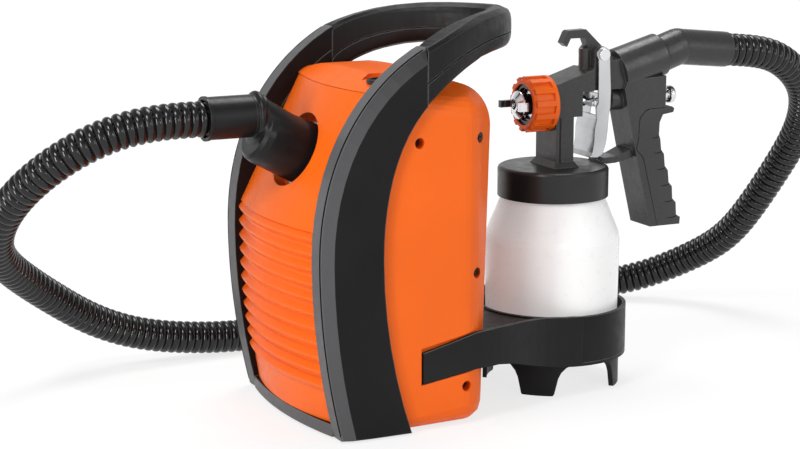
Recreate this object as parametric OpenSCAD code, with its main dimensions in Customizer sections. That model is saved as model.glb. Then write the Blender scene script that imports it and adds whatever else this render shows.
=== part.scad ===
// Turbine paint sprayer: a base unit with a carrying handle, a corrugated air hose and a cup gun.
// Frame: X across the base, -Y is the front of the base, +Z up, the floor at Z = 0.

/* [Base unit] */
// Width across the two side bands
base_w = 162; // [156:1:170]
// Y of the front bottom corner of the base
front_y = -140; // [-144:1:-136]
// Depth from the front bottom corner to the top of the rear face
body_depth = 117; // [112:1:119]
// How far the rear face leans forward at the floor
rear_lean = 9; // [4:1:12]
// Height of the crown of the housing
body_top = 231; // [228:1:234]
// How much the housing top drops from its crown to its sides
crown = 5; // [2:1:8]
// Radius of the upright rear corners
corner_r = 20; // [16:1:24]
// Radius of the top rear edge
top_edge_r = 30; // [24:1:32]
// Wall of the housing mouldings
wall = 3; // [2.4:0.1:3.6]
// How far the side bands stand proud of the housing
band_proud = 3.3; // [2.5:0.1:4]
// Clearance between mouldings that meet
seam_gap = 0.2; // [0.1:0.05:0.3]

/* [Feet] */
// How far the rubber feet stand out below the base
foot_proud = 1.5; // [1:0.1:3]
// Radius of a rubber foot
foot_r = 8; // [6:0.5:9]

/* [Front frame] */
// Height of the most forward point of the frame
bow_z = 118; // [110:1:126]
// How far the frame bows forward of its bottom corner
bow = 15; // [10:1:18]
// Width of the rim, seen from the front
rim_w = 12.3; // [10:0.1:14]
// Depth of the rim behind its front face
rim_depth = 14; // [12:0.5:16]
// Height of the bottom rail
rail_h = 8; // [6:0.5:10]
// How far the bottom rail bows forward in plan
rail_bow = 7; // [3:0.5:8]
// Depth of the chamfer on the front of a side band
band_chamfer = 9; // [6:0.5:10]
// Depth of a side band at its foot
band_foot = 49; // [44:1:54]
// Distance of the band's rear edge behind the front corner at mid height
band_waist = 28.7; // [24:0.1:32]

/* [Handle] */
// Height of the top of the handle
handle_z = 268.5; // [264:0.5:272]
// Distance of the handle's highest point behind the front corner
handle_peak = 132; // [126:1:136]
// Distance of the handle's rear end behind the front corner
handle_rear = 160.5; // [156:0.5:161]
// Height of the grip bar
grip_h = 27; // [24:0.5:30]
// Thickness of the grip bar in plan
grip_w = 19; // [16:0.5:21]
// Distance of the joint between bands and handle behind the front corner
joint_back = 59.5; // [56:0.5:62]
// Share of the grip bar's height that belongs to the lower shell
grip_split = 0.4; // [0.35:0.01:0.5]

/* [Front panel] */
// Distance from the front corner to the panel's most forward point
panel_front = 19.5; // [17:0.5:21]
// Radius of the panel in plan
panel_r = 230; // [200:5:300]
// Lean of the upper panel
panel_lean = 26.4; // [25:0.1:28]
// Height of the crease between the panel and the top
crease_z = 221.5; // [219:0.5:223]
// Number of ribs
rib_count = 11; // [5:1:11]
// Distance between ribs
rib_pitch = 9.7; // [8:0.1:10]
// Depth of a rib
rib_depth = 3; // [1.5:0.1:3.6]

/* [Air outlet] */
// Height of the outlet on the panel
outlet_z = 180; // [176:1:184]
// Radius of the recess round the outlet
recess_r = 26; // [25:0.5:28]
// Depth of the recess
recess_depth = 9; // [6:0.5:11]
// Radius of the outlet connector
plug_r = 21; // [19:0.5:22]
// Length of the outlet connector
plug_l = 38; // [34:0.5:42]
// Radius of the spigot on the outlet connector
spigot_r = 16; // [14:0.5:17]

/* [Switch] */
// Distance of the round switch on the top from the side of the housing
switch_in = 34.7; // [33:0.1:39]
// Distance of the switch behind the front corner
switch_back = 48; // [46:1:50]
// Radius of the dish round the switch
switch_r = 17; // [15:0.5:18]
// Tilt of the rocker when it is off
rocker_tilt = 8; // [5:1:10]

/* [Blower] */
// Distance of the motor axis behind the front corner
motor_back = 58; // [56:1:60]
// Radius of the fan housing
fan_r = 46; // [42:1:47]
// Height of the fan housing
fan_h = 36; // [32:1:38]
// Distance of the motor's top below the middle of the outlet
motor_drop = 26; // [25:1:28]
// Radius of the motor frame
motor_r = 34; // [30:1:35]
// Height of the motor frame
motor_h = 84; // [78:1:88]
// Radius of the motor shaft
shaft_r = 4; // [3:0.5:5]
// Number of blades on the impeller
blade_count = 11; // [7:1:13]

/* [Filter] */
// Width of the filter window
filter_w = 74; // [64:1:80]
// Height of the filter window
filter_h = 48; // [40:1:50]
// Height of the middle of the filter window
filter_z = 142; // [138:1:146]
// Number of slots in the filter cover
slot_count = 11; // [5:1:12]

/* [Cup holder] */
// Radius of the well that takes the bottle
well_r = 50.3; // [49.5:0.1:51.5]
// Wall of the holder
holder_wall = 2.4; // [2:0.1:3.2]
// Height of the rim of the well
well_top = 57; // [54:1:60]
// Height of the underside of the well's floor
well_floor = 22; // [18:0.5:24]
// Distance of the front end of an arm behind the front corner
arm_front = 58.5; // [56:0.5:62]
// Height of an arm at its front end
arm_h = 21; // [18:1:23]
// Clearance round an arm in its slot
slot_gap = 0.5; // [0.3:0.1:1]
// Width of a leg at the floor
leg_w = 23; // [16:1:26]

/* [Bottle and lid] */
// Distance of the bottle's axis behind the front corner
cup_back = 199; // [198:0.5:202]
// Radius of the bottle
bottle_r = 47.5; // [46:0.5:48.5]
// Wall of the bottle
bottle_wall = 1.5; // [1.2:0.1:2.5]
// Radius of the bottle's neck
neck_r = 36; // [34:0.5:36.4]
// Radius of the lid
lid_r = 38.9; // [38.5:0.1:40]
// Height of the lid's top
lid_top = 154.5; // [154:0.5:155]
// Height of the lid
lid_h = 21; // [18:0.5:24]

/* [Gun] */
// Height of the nozzle and needle axis
axis_z = 198.5; // [198:0.5:200]
// Half width of the gun's front block
block_hw = 14; // [13:0.5:15]
// Half width of the handle
grip_hw = 13; // [12:0.5:14]
// Radius of the barrel behind the trigger
barrel_r = 15.5; // [14.5:0.5:16]
// Radius of the ring nut
nut_r = 19.5; // [18.5:0.5:21]
// Number of grip lugs on the ring nut
lug_count = 13; // [8:1:18]
// Distance between the trigger's side straps
trigger_span = 23; // [22.8:0.1:24]
// Thickness of the trigger plate
trigger_t = 1.5; // [1.2:0.1:2]
// Height of the trigger's pivot
pivot_z = 231.6; // [231:0.2:232.2]
// Radius of the trigger's pin
pin_r = 2.5; // [2:0.1:3]
// Radius of the flow knob
knob_r = 6.5; // [5.5:0.5:7.5]
// Radius of the needle
needle_r = 1.25; // [1:0.05:1.5]

/* [Hose] */
// Outer radius of the hose over its ribs
hose_r = 12; // [10:0.5:12]
// Depth of the grooves between ribs
groove = 1.5; // [0.8:0.1:2]
// Radius of the hose's bore
bore_r = 9; // [7:0.5:9.5]
// Number of ribs on the hose
hose_ribs = 198; // [100:1:200]

/* [Hidden] */

$fn = 64;
body_hw = base_w / 2 - band_proud;
rim_in = body_hw + seam_gap - rim_w;
base_bottom = foot_proud;
switch_x = body_hw - switch_in;
motor_top = outlet_z - motor_drop;
motor_z = motor_top - motor_h;
fan_z = motor_z - fan_h;
run_gap = 0.3;
far = 400;

orange = "darkorange";
black = [0.13, 0.13, 0.14];
steel = [0.75, 0.76, 0.78];

// ---------- helpers ----------

function unit(v) = v / norm(v);
function join(lists) = [for (list = lists) for (item = list) item];
function reverse(list) = [for (i = [len(list) - 1:-1:0]) list[i]];
function bezier(p, t) =
    pow(1 - t, 3) * p[0] + 3 * t * pow(1 - t, 2) * p[1] + 3 * t * t * (1 - t) * p[2] + pow(t, 3) * p[3];
function bezier_points(p, n) = [for (i = [0:n]) bezier(p, i / n)];
// A point list moved along its own left-hand normal
function shifted(list, d) = [
    for (i = [0:len(list) - 1])
        let (t = unit(list[min(i + 1, len(list) - 1)] - list[max(i - 1, 0)]))
        list[i] + d * [t[1], -t[0]]
];

// Places the base unit's own frame, with Y measured back from its front bottom corner
module at_base() translate([0, front_y, 0]) children();
// Places the gun's own frame, with Y measured back from the bottle's axis
module at_gun() translate([0, front_y + cup_back, 0]) children();
// Extrudes a (Y, Z) profile along X
module along_x(x0, x1) translate([x0, 0, 0]) rotate([90, 0, 90]) linear_extrude(x1 - x0) children();
// A straight rod between X = x0 and X = x1
module rod_x(x0, x1, r, y, z) translate([x0, y, z]) rotate([0, 90, 0]) cylinder(h = x1 - x0, r = r);
// A straight rod between Y = y0 and Y = y1
module rod_y(y0, y1, r, x, z) translate([x, y0, z]) rotate([-90, 0, 0]) cylinder(h = y1 - y0, r = r);
module mirrored() {
    children();
    mirror([1, 0, 0]) children();
}
// A closed mesh through rings with the same number of points; a looped one joins its last ring to its first
module skin(rings, looped = false) {
    n = len(rings[0]);
    m = len(rings);
    sides = [
        for (j = [0:(looped ? m - 1 : m - 2)], i = [0:n - 1])
            let (a = j * n, b = (j + 1) % m * n, k = (i + 1) % n)
            each [[a + i, b + i, b + k], [a + i, b + k, a + k]]
    ];
    caps = looped ? [] : [
        for (i = [1:n - 2]) [0, i, i + 1],
        for (i = [1:n - 2]) (m - 1) * n * [1, 1, 1] + [0, i + 1, i]
    ];
    polyhedron(points = join(rings), faces = concat(sides, caps), convexity = 8);
}

// ---------- side profile of the frame, bands and handle ----------

arch_pull = 90;
lower_steps = 6;
arch_steps = 18;
foot_line = [for (i = [0:lower_steps - 1]) let (f = i / lower_steps) [-bow * (1 - pow(1 - f, 2)), bow_z * f]];
front_line = concat(foot_line, bezier_points([
    [-bow, bow_z], [-bow, bow_z + arch_pull],
    [handle_peak - arch_pull + 2, handle_z], [handle_peak, handle_z]
], arch_steps));
under_z = handle_z - grip_h;
back_line = concat(
    [for (i = [0:lower_steps - 1]) let (f = i / lower_steps)
        [band_waist + (band_foot - band_waist) * pow(1 - f, 2), bow_z * f]],
    bezier_points([
        [band_waist, bow_z], [band_waist, bow_z + 66],
        [handle_peak - 78, under_z], [handle_peak, under_z]
    ], arch_steps)
);
inner_line = shifted(front_line, rim_depth);
// Height of a profile line at distance y behind the front corner, past its belly
function upper_half(line) = [for (p = line) if (p[1] > bow_z) p];
function line_z(line, y) = lookup(y, upper_half(line));

module band_area(front, back) polygon(concat(front, reverse(back)));
// Everything in front of a profile line
module before_line(line)
    polygon(concat([[-far, -1], [line[0][0], -1]], line, [[line[len(line) - 1][0], far], [-far, far]]));
module below_joint() translate([-far, -far / 2, base_bottom]) cube([2 * far, far / 2 + joint_back, far]);

// ---------- housing ----------

side_edge_r = 14;
bottom_edge_r = 5;
rear_edge_r = 12;
ref_z = 200;
function rear_at(z) = body_depth - rear_lean * (1 - z / ref_z);
panel_centre = panel_r - panel_front;
rib_top = 136;
panel_low_r = 451;
panel_low_z = 110;
function panel_at(z) =
    z < panel_low_z ? -panel_front + pow(panel_low_z - z, 2) / (2 * panel_low_r) :
    z < rib_top ? -panel_front : -panel_front + (z - rib_top) * tan(panel_lean);
function crease_at(x) =
    panel_centre - sqrt(pow(panel_centre - panel_at(crease_z), 2) - x * x);
crown_front = 44;
crown_rear = 80;

// Outer form of the housing, grown by g on every side
module housing_form(g = 0) {
    shoulder = body_top - crown;
    hull() {
        for (s = [-1, 1]) {
            // rear corners and side edges
            translate([s * (body_hw - corner_r), rear_at(ref_z) - corner_r - 8, shoulder - corner_r - 4])
                sphere(r = corner_r + g, $fn = 32);
            for (a = [0:30:90])
                translate([s * (body_hw - corner_r), rear_at(base_bottom + rear_edge_r) - corner_r,
                        base_bottom - g + rear_edge_r * (1 - sin(a))])
                    cylinder(r = corner_r + g - rear_edge_r * (1 - cos(a)), h = 0.5, $fn = 32);
            translate([s * (body_hw - side_edge_r), crown_front, shoulder - side_edge_r])
                sphere(r = side_edge_r + g, $fn = 32);
            // front edges of the side walls
            for (a = [0:30:90])
                translate([s * (body_hw + g - bottom_edge_r * (1 - cos(a)) - 0.5) - 0.5, -bow + g,
                        base_bottom - g + bottom_edge_r * (1 - sin(a))])
                    cube([1, 1, bow_z + 40]);
            translate([s * (body_hw + g - 0.5) - 0.5, panel_at(ref_z) - g, base_bottom + bottom_edge_r])
                cube([1, 1, ref_z - bottom_edge_r]);
        }
        // rounded top rear edge
        rod_x(corner_r - body_hw, body_hw - corner_r, top_edge_r + g, rear_at(ref_z) - top_edge_r,
            shoulder - top_edge_r);
        // crowned top and the crease at its front edge
        for (x = [-50:12.5:50])
            rod_y(crown_front, crown_rear, 1 + g, x, body_top - 1 - crown * pow(x / body_hw, 2));
        for (x = [-60:15:60])
            translate([x, crease_at(x) - g, crease_z + g - 1]) cube([2, 1, 1], center = true);
    }
}

slot_depth = 3;
slot_open = slot_gap + 1;
web_top = well_top - 1;
arm_z = well_top - 4;
boss_r = 5;
boss_gap = 2;
screw_spots = [[55.6, 191], [101.8, 191], [99.1, 102], [90.6, fan_z - boss_r - boss_gap]];
head_r = 3.2;
recess_clear = 0.3;
head_depth = 10;
mount_drop = 12;
rib_zs = [fan_z + fan_h / 2, motor_top - mount_drop];
mount_t = 3;
rib_holes = [fan_r + mount_t, motor_r + mount_t];
rail_back = 12;
rail_seat = 1.5;

outlet_dir = [0, -cos(panel_lean), sin(panel_lean)];
// Turns +Z to the outlet's direction, with the origin on the panel's surface at the outlet
module at_outlet() translate([0, panel_at(outlet_z), outlet_z]) rotate([90 - panel_lean, 0, 0]) children();

module filter_place()
    translate([0, rear_at(filter_z), filter_z]) rotate([-atan(rear_lean / ref_z), 0, 0]) children();

// Space inside the housing, less the ribs, bosses and linings that stand in it
module housing_room(switch) {
    difference() {
        housing_form(-wall);
        if (switch) translate([switch_x, switch_back, switch_floor - wall])
            cylinder(r = switch_r + wall, h = far);
        // ribs that carry the blower
        for (i = [0, 1])
            difference() {
                translate([-far, -far, rib_zs[i] - wall / 2]) cube([2 * far, 2 * far, wall]);
                translate([0, motor_back, rib_zs[i] - wall]) cylinder(r = rib_holes[i], h = 2 * wall);
                // ways past the ribs for the air duct and the filter
                translate([-duct_r - 3, -far, rib_zs[i] - wall])
                    cube([2 * duct_r + 6, far + duct_back + duct_r + 3, 2 * wall]);
                filter_place() cube([filter_w, 26, filter_h], center = true);
            }
        for (p = screw_spots) rod_x(-far, far, boss_r, p[0], p[1]);
        // lining behind the slots of the holder's arms
        mirrored() translate([body_hw - slot_depth - wall, arm_front - 5, arm_z - arm_h - 4])
            cube([far, far, arm_h + 19]);
    }
}

// What both halves of the housing have, drawn to the right of X = 0
module housing_half(switch = false) {
    difference() {
        intersection() {
            housing_form();
            translate([seam_gap / 2, -far, 0]) cube([far, 2 * far, far]);
        }
        housing_room(switch);
        along_x(rim_in - seam_gap, far) before_line(shifted(inner_line, seam_gap));
        // room for the front panel and the rail below it
        intersection() {
            translate([-far, -far, -1]) cube([far + rim_in, 2 * far, crease_z + 1]);
            panel_space();
        }
        translate([-1, -far, -1])
            cube([rim_in + 1, far + rail_back + seam_gap, base_bottom + rail_h + seam_gap + 1]);
        // root of the handle's arm
        along_x(rim_in - seam_gap, far) intersection() {
            band_area(shifted(front_line, -1), shifted(back_line, 3 * seam_gap));
            translate([-far, ref_z - 20]) square([2 * far, far]);
        }
        along_x(rim_in - 4, far) intersection() {
            band_area(shifted(front_line, -1), shifted(back_line, 3 * seam_gap));
            translate([joint_back - 1, ref_z - 20]) square([14, far]);
        }
        holder_slot();
        filter_place() cube([filter_w, 4 * wall, filter_h], center = true);
        foot_cuts();
    }
}

// Everything outside the front panel's inner face
module panel_space() {
    zs = concat([for (i = [0:8]) -2 + i * (rib_top + 2) / 8], [crease_z + 2]);
    inner = [for (z = zs) [panel_centre - panel_at(z) - wall - seam_gap, z]];
    translate([0, panel_centre, 0]) rotate_extrude($fn = 180)
        polygon(concat(inner, [[far * 1.5, crease_z + 2], [far * 1.5, -2]]));
}

module holder_slot() along_x(body_hw - slot_depth, far) polygon([
    [arm_front - slot_open, arm_z + 3], [arm_front + 21, arm_z + 7.2], [arm_front + 39.5, arm_z + 11.2],
    [arm_start + 23, arm_z + 12], [far, arm_z + 12], [far, arm_z - arm_h + 6 - slot_gap],
    [arm_front + 39.5, arm_z - arm_h + 6 - slot_gap], [arm_front - slot_open, arm_z - arm_h - slot_gap]
]);

screw_shank = 2;
screw_reach = 10;
module screw_cuts() {
    for (p = screw_spots) {
        rod_x(body_hw - head_depth, far, head_r + recess_clear, p[0], p[1]);
        rod_x(-far, far, screw_shank + 0.1, p[0], p[1]);
    }
}

foot_spots = [[58, 22], [54, 84]];
foot_t = 3.5;
module foot_cuts() for (p = foot_spots) translate([p[0], p[1], 0]) cylinder(r = foot_r, h = foot_t);

module housing_right() color(orange) at_base() difference() {
    housing_half(switch = true);
    screw_cuts();
    switch_cut();
}

module housing_left() color(orange) at_base() difference() {
    mirror([1, 0, 0]) housing_half();
    for (p = screw_spots) rod_x(-screw_reach - run_gap, far, screw_shank + 0.05, p[0], p[1]);
    rod_y(0, far, gland_r + seam_gap, gland_x, gland_z);
}

module rubber_feet() color("dimgray") at_base()
    mirrored() for (p = foot_spots) translate([p[0], p[1], 0]) {
        cylinder(r1 = foot_r - 1, r2 = foot_r - 0.1, h = foot_proud);
        translate([0, 0, foot_proud]) cylinder(r = foot_r - 0.1, h = foot_t - foot_proud);
    }

module housing_screws() color(steel) at_base() for (p = screw_spots) difference() {
    union() {
        rod_x(body_hw - head_depth, body_hw - head_depth + 2.2, head_r, p[0], p[1]);
        rod_x(-screw_reach, body_hw - head_depth, screw_shank, p[0], p[1]);
    }
    for (a = [0, 90]) translate([body_hw - head_depth + 2.2, p[0], p[1]]) rotate([a, 0, 0])
        cube([2.4, 0.9, 4], center = true);
}

// ---------- front panel and frame ----------

rib_foot = 4;
module front_panel() color(orange) at_base() {
    first_tip = rib_top - 4.5;
    teeth = join([for (k = [0:rib_count - 1]) let (z = first_tip - k * rib_pitch) [
        [panel_at(z) + rib_depth / 2, z + rib_pitch * 0.42],
        [panel_at(z) - rib_depth / 2, z + 0.6],
        [panel_at(z) - rib_depth / 2, z - 0.6],
        [panel_at(z) + rib_depth / 2, z - rib_pitch * 0.42]
    ]]);
    bottom = base_bottom + rail_h + seam_gap;
    outer = concat([[panel_at(crease_z), crease_z - seam_gap], [panel_at(rib_top), rib_top]], teeth,
        [[panel_at(bottom), bottom]]);
    inner = [for (z = [bottom:(rib_top - bottom) / 8:rib_top + 0.1]) [panel_at(z) + wall + 0.01, z]];
    profile = concat(outer, inner, [[panel_at(crease_z) + wall, crease_z - seam_gap]]);
    difference() {
        union() {
            intersection() {
                translate([0, panel_centre, 0]) rotate_extrude($fn = 180)
                    polygon([for (p = profile) [panel_centre - p[0], p[1]]]);
                translate([seam_gap - rim_in, -far / 2, 0])
                    cube([2 * (rim_in - seam_gap), far / 2 + crease_at(rim_in) + 5, far]);
            }
            intersection() {
                at_outlet() translate([0, 0, -recess_depth - wall])
                    cylinder(r = recess_r + wall, h = recess_depth + wall + 8);
                translate([0, panel_centre, 0]) rotate_extrude($fn = 180)
                    polygon([[panel_centre - panel_at(rib_top) - 1.5 * far / 10, rib_top - 10],
                             [panel_centre - panel_at(rib_top), rib_top - 10],
                             [panel_centre - panel_at(rib_top), rib_top],
                             [panel_centre - panel_at(crease_z), crease_z - seam_gap],
                             [panel_centre - panel_at(crease_z) - 1.5 * far / 10, crease_z - seam_gap]]);
            }
        }
        at_outlet() {
            translate([0, 0, -recess_depth]) cylinder(r = recess_r, h = far);
            translate([0, 0, -far / 2]) cylinder(r = socket_r + seam_gap, h = far);
        }
    }
}

module front_frame() color(black) at_base() {
    mirrored() intersection() {
        along_x(rim_in, body_hw + seam_gap) band_area(front_line, inner_line);
        below_joint();
    }
    // bottom rail, bowed forward in plan
    rail_r = (pow(rim_in, 2) + pow(rail_bow, 2)) / (2 * rail_bow);
    translate([0, 0, base_bottom]) intersection() {
        translate([0, rail_r - rail_bow - rail_seat, 0]) cylinder(r = rail_r, h = rail_h, $fn = 180);
        translate([-rim_in, -far, 0]) cube([2 * rim_in, far + rail_back, rail_h]);
    }
}

module side_band() {
    hw = base_w / 2;
    cover = body_hw + seam_gap;
    edge = shifted(front_line, band_chamfer);
    intersection() {
        union() {
            // cover plate with its chamfered front
            skin([for (i = [0:len(front_line) - 1]) [
                [cover, front_line[i][0], front_line[i][1]], [hw, edge[i][0], edge[i][1]],
                [hw, back_line[i][0], back_line[i][1]], [cover, back_line[i][0], back_line[i][1]]
            ]]);
            // root of the handle's arm
            along_x(rim_in, cover) intersection() {
                band_area(shifted(inner_line, seam_gap), back_line);
                translate([-far, ref_z - 20 + seam_gap]) square([2 * far, far]);
            }
        }
        below_joint();
    }
}
module side_band_right() color(black) at_base() side_band();
module side_band_left() color(black) at_base() mirror([1, 0, 0]) side_band();

// ---------- handle ----------

loop_steps = 40;
grip_points = 14;
grip_square = 3.2;
loop_outer = base_w / 2;
loop_pull = 27;
loop_half = 31;
blend_steps = 9;
// Outer edge of the grip bar in plan, from the right joint round to the rear
plan_half = bezier_points([
    [loop_outer, joint_back], [loop_outer, joint_back + loop_pull], [loop_half, handle_rear], [0, handle_rear]
], loop_steps / 2);
plan_line = concat(plan_half, [for (i = [loop_steps / 2 - 1:-1:0]) [-plan_half[i][0], plan_half[i][1]]]);
function grip_top(y) = line_z(front_line, min(y, handle_peak));
function grip_under(y) = line_z(back_line, min(y, handle_peak));
// Part of the grip's section between two heights, as shares of the bar's height
function grip_ring(i, low, high) =
    let (
        p = plan_line[i],
        t = unit(plan_line[min(i + 1, loop_steps)] - plan_line[max(i - 1, 0)]),
        side = (i == 0 || i == loop_steps) ? [i == 0 ? 1 : -1, 0] : [t[1], -t[0]],
        near = min(i, loop_steps - i, blend_steps) / blend_steps,
        w = loop_outer - rim_in + (grip_w - loop_outer + rim_in) * near,
        mid = p - side * w / 2,
        q = grip_square + 8 * (1 - near),
        z0 = grip_under(mid[1]),
        z1 = grip_top(mid[1]),
        half = grip_points / 2,
        share = [for (k = [0:half]) low + (high - low) * k / half]
    )
    concat(
        [for (f = share) concat(mid + side * grip_bulge(f, q) * w / 2, [z0 + f * (z1 - z0)])],
        [for (f = reverse(share)) concat(mid - side * grip_bulge(f, q) * w / 2, [z0 + f * (z1 - z0)])]
    );
// Half width of the section at a share of its height, as a share of the full half width
function grip_bulge(f, q) = max(pow(max(1 - pow(abs(2 * f - 1), q), 0), 1 / q), 0.05);
module handle_upper() color(black) at_base() translate([0, seam_gap, 0])
    skin([for (i = [0:loop_steps]) grip_ring(i, 0.998, grip_split + 0.015)]);
module handle_lower() color(black) at_base() translate([0, seam_gap, 0])
    skin([for (i = [0:loop_steps]) reverse(grip_ring(i, 0.002, grip_split - 0.015))]);

// ---------- switch ----------

switch_floor = body_top - 4;
bezel_r = 12.6;
well = bezel_r - 2.6;
rocker_z = switch_floor - 7.5;
module switch_cut() translate([switch_x, switch_back, 0]) {
    translate([0, 0, switch_floor]) cylinder(r = switch_r, h = far);
    translate([0, 0, switch_floor - 20]) cylinder(r = well + 1 + seam_gap, h = 30);
}
module switch_bezel() color(black) at_base() translate([switch_x, switch_back, switch_floor]) difference() {
    union() {
        cylinder(r1 = bezel_r, r2 = bezel_r - 0.8, h = 1.6);
        translate([0, 0, -17]) cylinder(r = well + 1, h = 18);
    }
    translate([0, 0, -15]) cylinder(r = well, h = 40);
}
module rocker_switch() color([0.1, 0.1, 0.1]) at_base()
    translate([switch_x, switch_back, rocker_z]) rotate([rocker_tilt, 0, 0]) {
        intersection() {
            translate([0, 0, -1]) cylinder(r = well - 1.2, h = 14);
            difference() {
                rod_x(-bezel_r, bezel_r, 12, 0, -1);
                rod_x(-bezel_r, bezel_r, 21, 0, 29.5);
            }
        }
        rod_x(-well + 0.5, well - 0.5, 1.5, 0, 0);
    }

// ---------- air path and blower ----------

duct_r = 8;
duct_back = 13;
socket_r = 18.5;
socket_l = 20;
duct_top = motor_top + 3;
collar_z = duct_top - 4.5;

module outlet_socket() color([0.6, 0.61, 0.63]) at_base() difference() {
    union() {
        at_outlet() translate([0, 0, -recess_depth - socket_l]) {
            cylinder(r = socket_r, h = socket_l);
            translate([0, 0, socket_l]) cylinder(r = plug_r + 1.5, h = 1.5);
        }
        // collar for the duct, behind the recess of the panel
        intersection() {
            translate([0, duct_back, collar_z]) cylinder(r = duct_r + 2, h = 10);
            at_outlet() translate([-far, -far, -far - recess_depth - wall - seam_gap])
                cube([2 * far, 2 * far, far]);
        }
    }
    at_outlet() translate([0, 0, -recess_depth - socket_l + 2]) cylinder(r = spigot_r + run_gap, h = far);
    translate([0, duct_back, collar_z - 6])
        cylinder(r = duct_r + seam_gap / 2, h = duct_top + 6.2 - collar_z);
    translate([0, duct_back, collar_z]) cylinder(r = duct_r - 2, h = 13);
}

module air_duct() color("gray") at_base() difference() {
    translate([0, duct_back, motor_z]) cylinder(r = duct_r, h = duct_top - motor_z);
    translate([0, duct_back, fan_z]) cylinder(r = duct_r - 1.6, h = far);
}

fan_wall = 2;
eye_r = 16;
module fan_housing() color("gray") at_base() difference() {
    union() {
        translate([0, motor_back, fan_z]) cylinder(r = fan_r, h = fan_h);
        translate([0, duct_back, fan_z]) cylinder(r = duct_r + 3, h = fan_h);
    }
    translate([0, motor_back, fan_z + fan_wall]) cylinder(r = fan_r - fan_wall, h = fan_h - 2 * fan_wall);
    translate([0, duct_back, fan_z + fan_wall]) cylinder(r = duct_r + 3 - fan_wall, h = fan_h - 2 * fan_wall);
    translate([0, duct_back, fan_z + fan_wall]) cylinder(r = duct_r - 1.6, h = fan_h);
    translate([0, motor_back, fan_z - 1]) cylinder(r = eye_r, h = fan_wall + 2);
    translate([0, motor_back, fan_z + fan_h - fan_wall - 1]) cylinder(r = shaft_r + 2, h = fan_wall + 2);
}

bearing_r = 11;
bearing_h = 7;
motor_wall = 2;
stator_inner = 23;
stator_inset = 16; // from the motor's underside
stack_h = motor_h - stator_inset - 28;
commutator_r = 10;
commutator_h = 12;
commutator_z = motor_z + stator_inset + stack_h + 2;
// Places the motor's axis, with Z measured from height z
module at_motor(z) translate([0, front_y + motor_back, z]) children();
module motor_frame() color("lightgray") at_motor(motor_z) difference() {
    cylinder(r = motor_r, h = motor_h);
    translate([0, 0, bearing_h + 2]) cylinder(r = motor_r - motor_wall, h = motor_h - 2 * bearing_h - 4);
    translate([0, 0, 2]) cylinder(r = bearing_r, h = bearing_h + 1);
    translate([0, 0, motor_h - bearing_h - 3]) cylinder(r = bearing_r, h = bearing_h + 1);
    translate([0, 0, -1]) cylinder(r = shaft_r + 2, h = 4);
}
module motor_stator() color([0.45, 0.3, 0.2]) at_motor(motor_z + stator_inset) difference() {
    cylinder(r = motor_r - motor_wall - 0.1, h = stack_h);
    translate([0, 0, -1]) cylinder(r = stator_inner, h = stack_h + 2);
}
module motor_rotor() color([0.6, 0.4, 0.25]) {
    at_motor(fan_z + 5) cylinder(r = shaft_r, h = motor_top - fan_z - 10);
    at_motor(motor_z + stator_inset + 3) cylinder(r = stator_inner - 1, h = stack_h - 6);
    at_motor(commutator_z) cylinder(r = commutator_r, h = commutator_h);
}
module motor_bearings() color(steel) for (z = [motor_z + 2, motor_top - bearing_h - 2])
    at_motor(z) difference() {
        cylinder(r = bearing_r - 0.05, h = bearing_h);
        translate([0, 0, -1]) cylinder(r = shaft_r + 0.05, h = bearing_h + 2);
    }
module carbon_brushes() color([0.2, 0.2, 0.2]) at_motor(commutator_z + commutator_h / 2) mirrored()
    translate([commutator_r + run_gap, -3, -4])
        cube([motor_r - motor_wall - commutator_r - 2 * run_gap, 6, 8]);

// Backward curved blades between two discs
blade_h = 14;
impeller_r = 38;
module impeller() color(steel) at_motor(fan_z + 8) difference() {
    union() {
        cylinder(r = impeller_r, h = 1.5);
        translate([0, 0, blade_h + 1.5]) cylinder(r = impeller_r, h = 1.5);
        cylinder(r = shaft_r + 5, h = blade_h + 3);
        for (k = [0:blade_count - 1]) rotate(k * 360 / blade_count) translate([0, 0, 1])
            linear_extrude(blade_h + 1) intersection() {
                translate([18, -10]) difference() {
                    circle(r = 26, $fn = 64);
                    circle(r = 24.6, $fn = 64);
                }
                translate([12, -far]) square([far, far]);
                difference() {
                    circle(r = impeller_r - 0.5, $fn = 64);
                    circle(r = eye_r, $fn = 64);
                }
            }
    }
    translate([0, 0, -1]) cylinder(r = shaft_r + 0.05, h = far);
    translate([0, 0, -1]) difference() {
        cylinder(r = eye_r - 1, h = 3.5);
        cylinder(r = shaft_r + 5, h = 5);
    }
}

module motor_mounts() color([0.2, 0.2, 0.2]) for (i = [0, 1])
    at_motor(rib_zs[i] - 4) difference() {
        cylinder(r = rib_holes[i] - 0.1, h = 8);
        translate([0, 0, -1]) cylinder(r = rib_holes[i] - mount_t + 0.1, h = 10);
        if (i == 0) translate([-duct_r - 3.5, -far, -1]) cube([2 * duct_r + 7, far, 10]);
    }

// ---------- filter, gland ----------

cover_t = 2.6;
module intake_filter() color([0.3, 0.3, 0.32]) at_base() filter_place()
    translate([0, -wall - 2.4, 0]) cube([filter_w - 1, 7.8, filter_h - 1], center = true);

module filter_cover() color(black) at_base() filter_place() difference() {
    translate([0, cover_t / 2 + run_gap - 0.1, 0])
        cube([filter_w + 10, cover_t, filter_h + 10], center = true);
    pitch = (filter_w - 4) / slot_count;
    for (i = [0:slot_count - 1]) translate([(i - (slot_count - 1) / 2) * pitch, 0, 0])
        cube([pitch * 0.5, 4 * cover_t, filter_h - 6], center = true);
}

gland_r = 6;
gland_x = -45;
gland_z = 22;
module cord_gland() color(black) at_base() difference() {
    union() {
        rod_y(rear_at(gland_z) - wall - 3, rear_at(gland_z) + 9, gland_r, gland_x, gland_z);
        rod_y(rear_at(gland_z) + 0.6, rear_at(gland_z) + 3, gland_r + 2, gland_x, gland_z);
    }
    rod_y(0, far, 3.5, gland_x, gland_z);
}

// ---------- cup holder ----------

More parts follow.
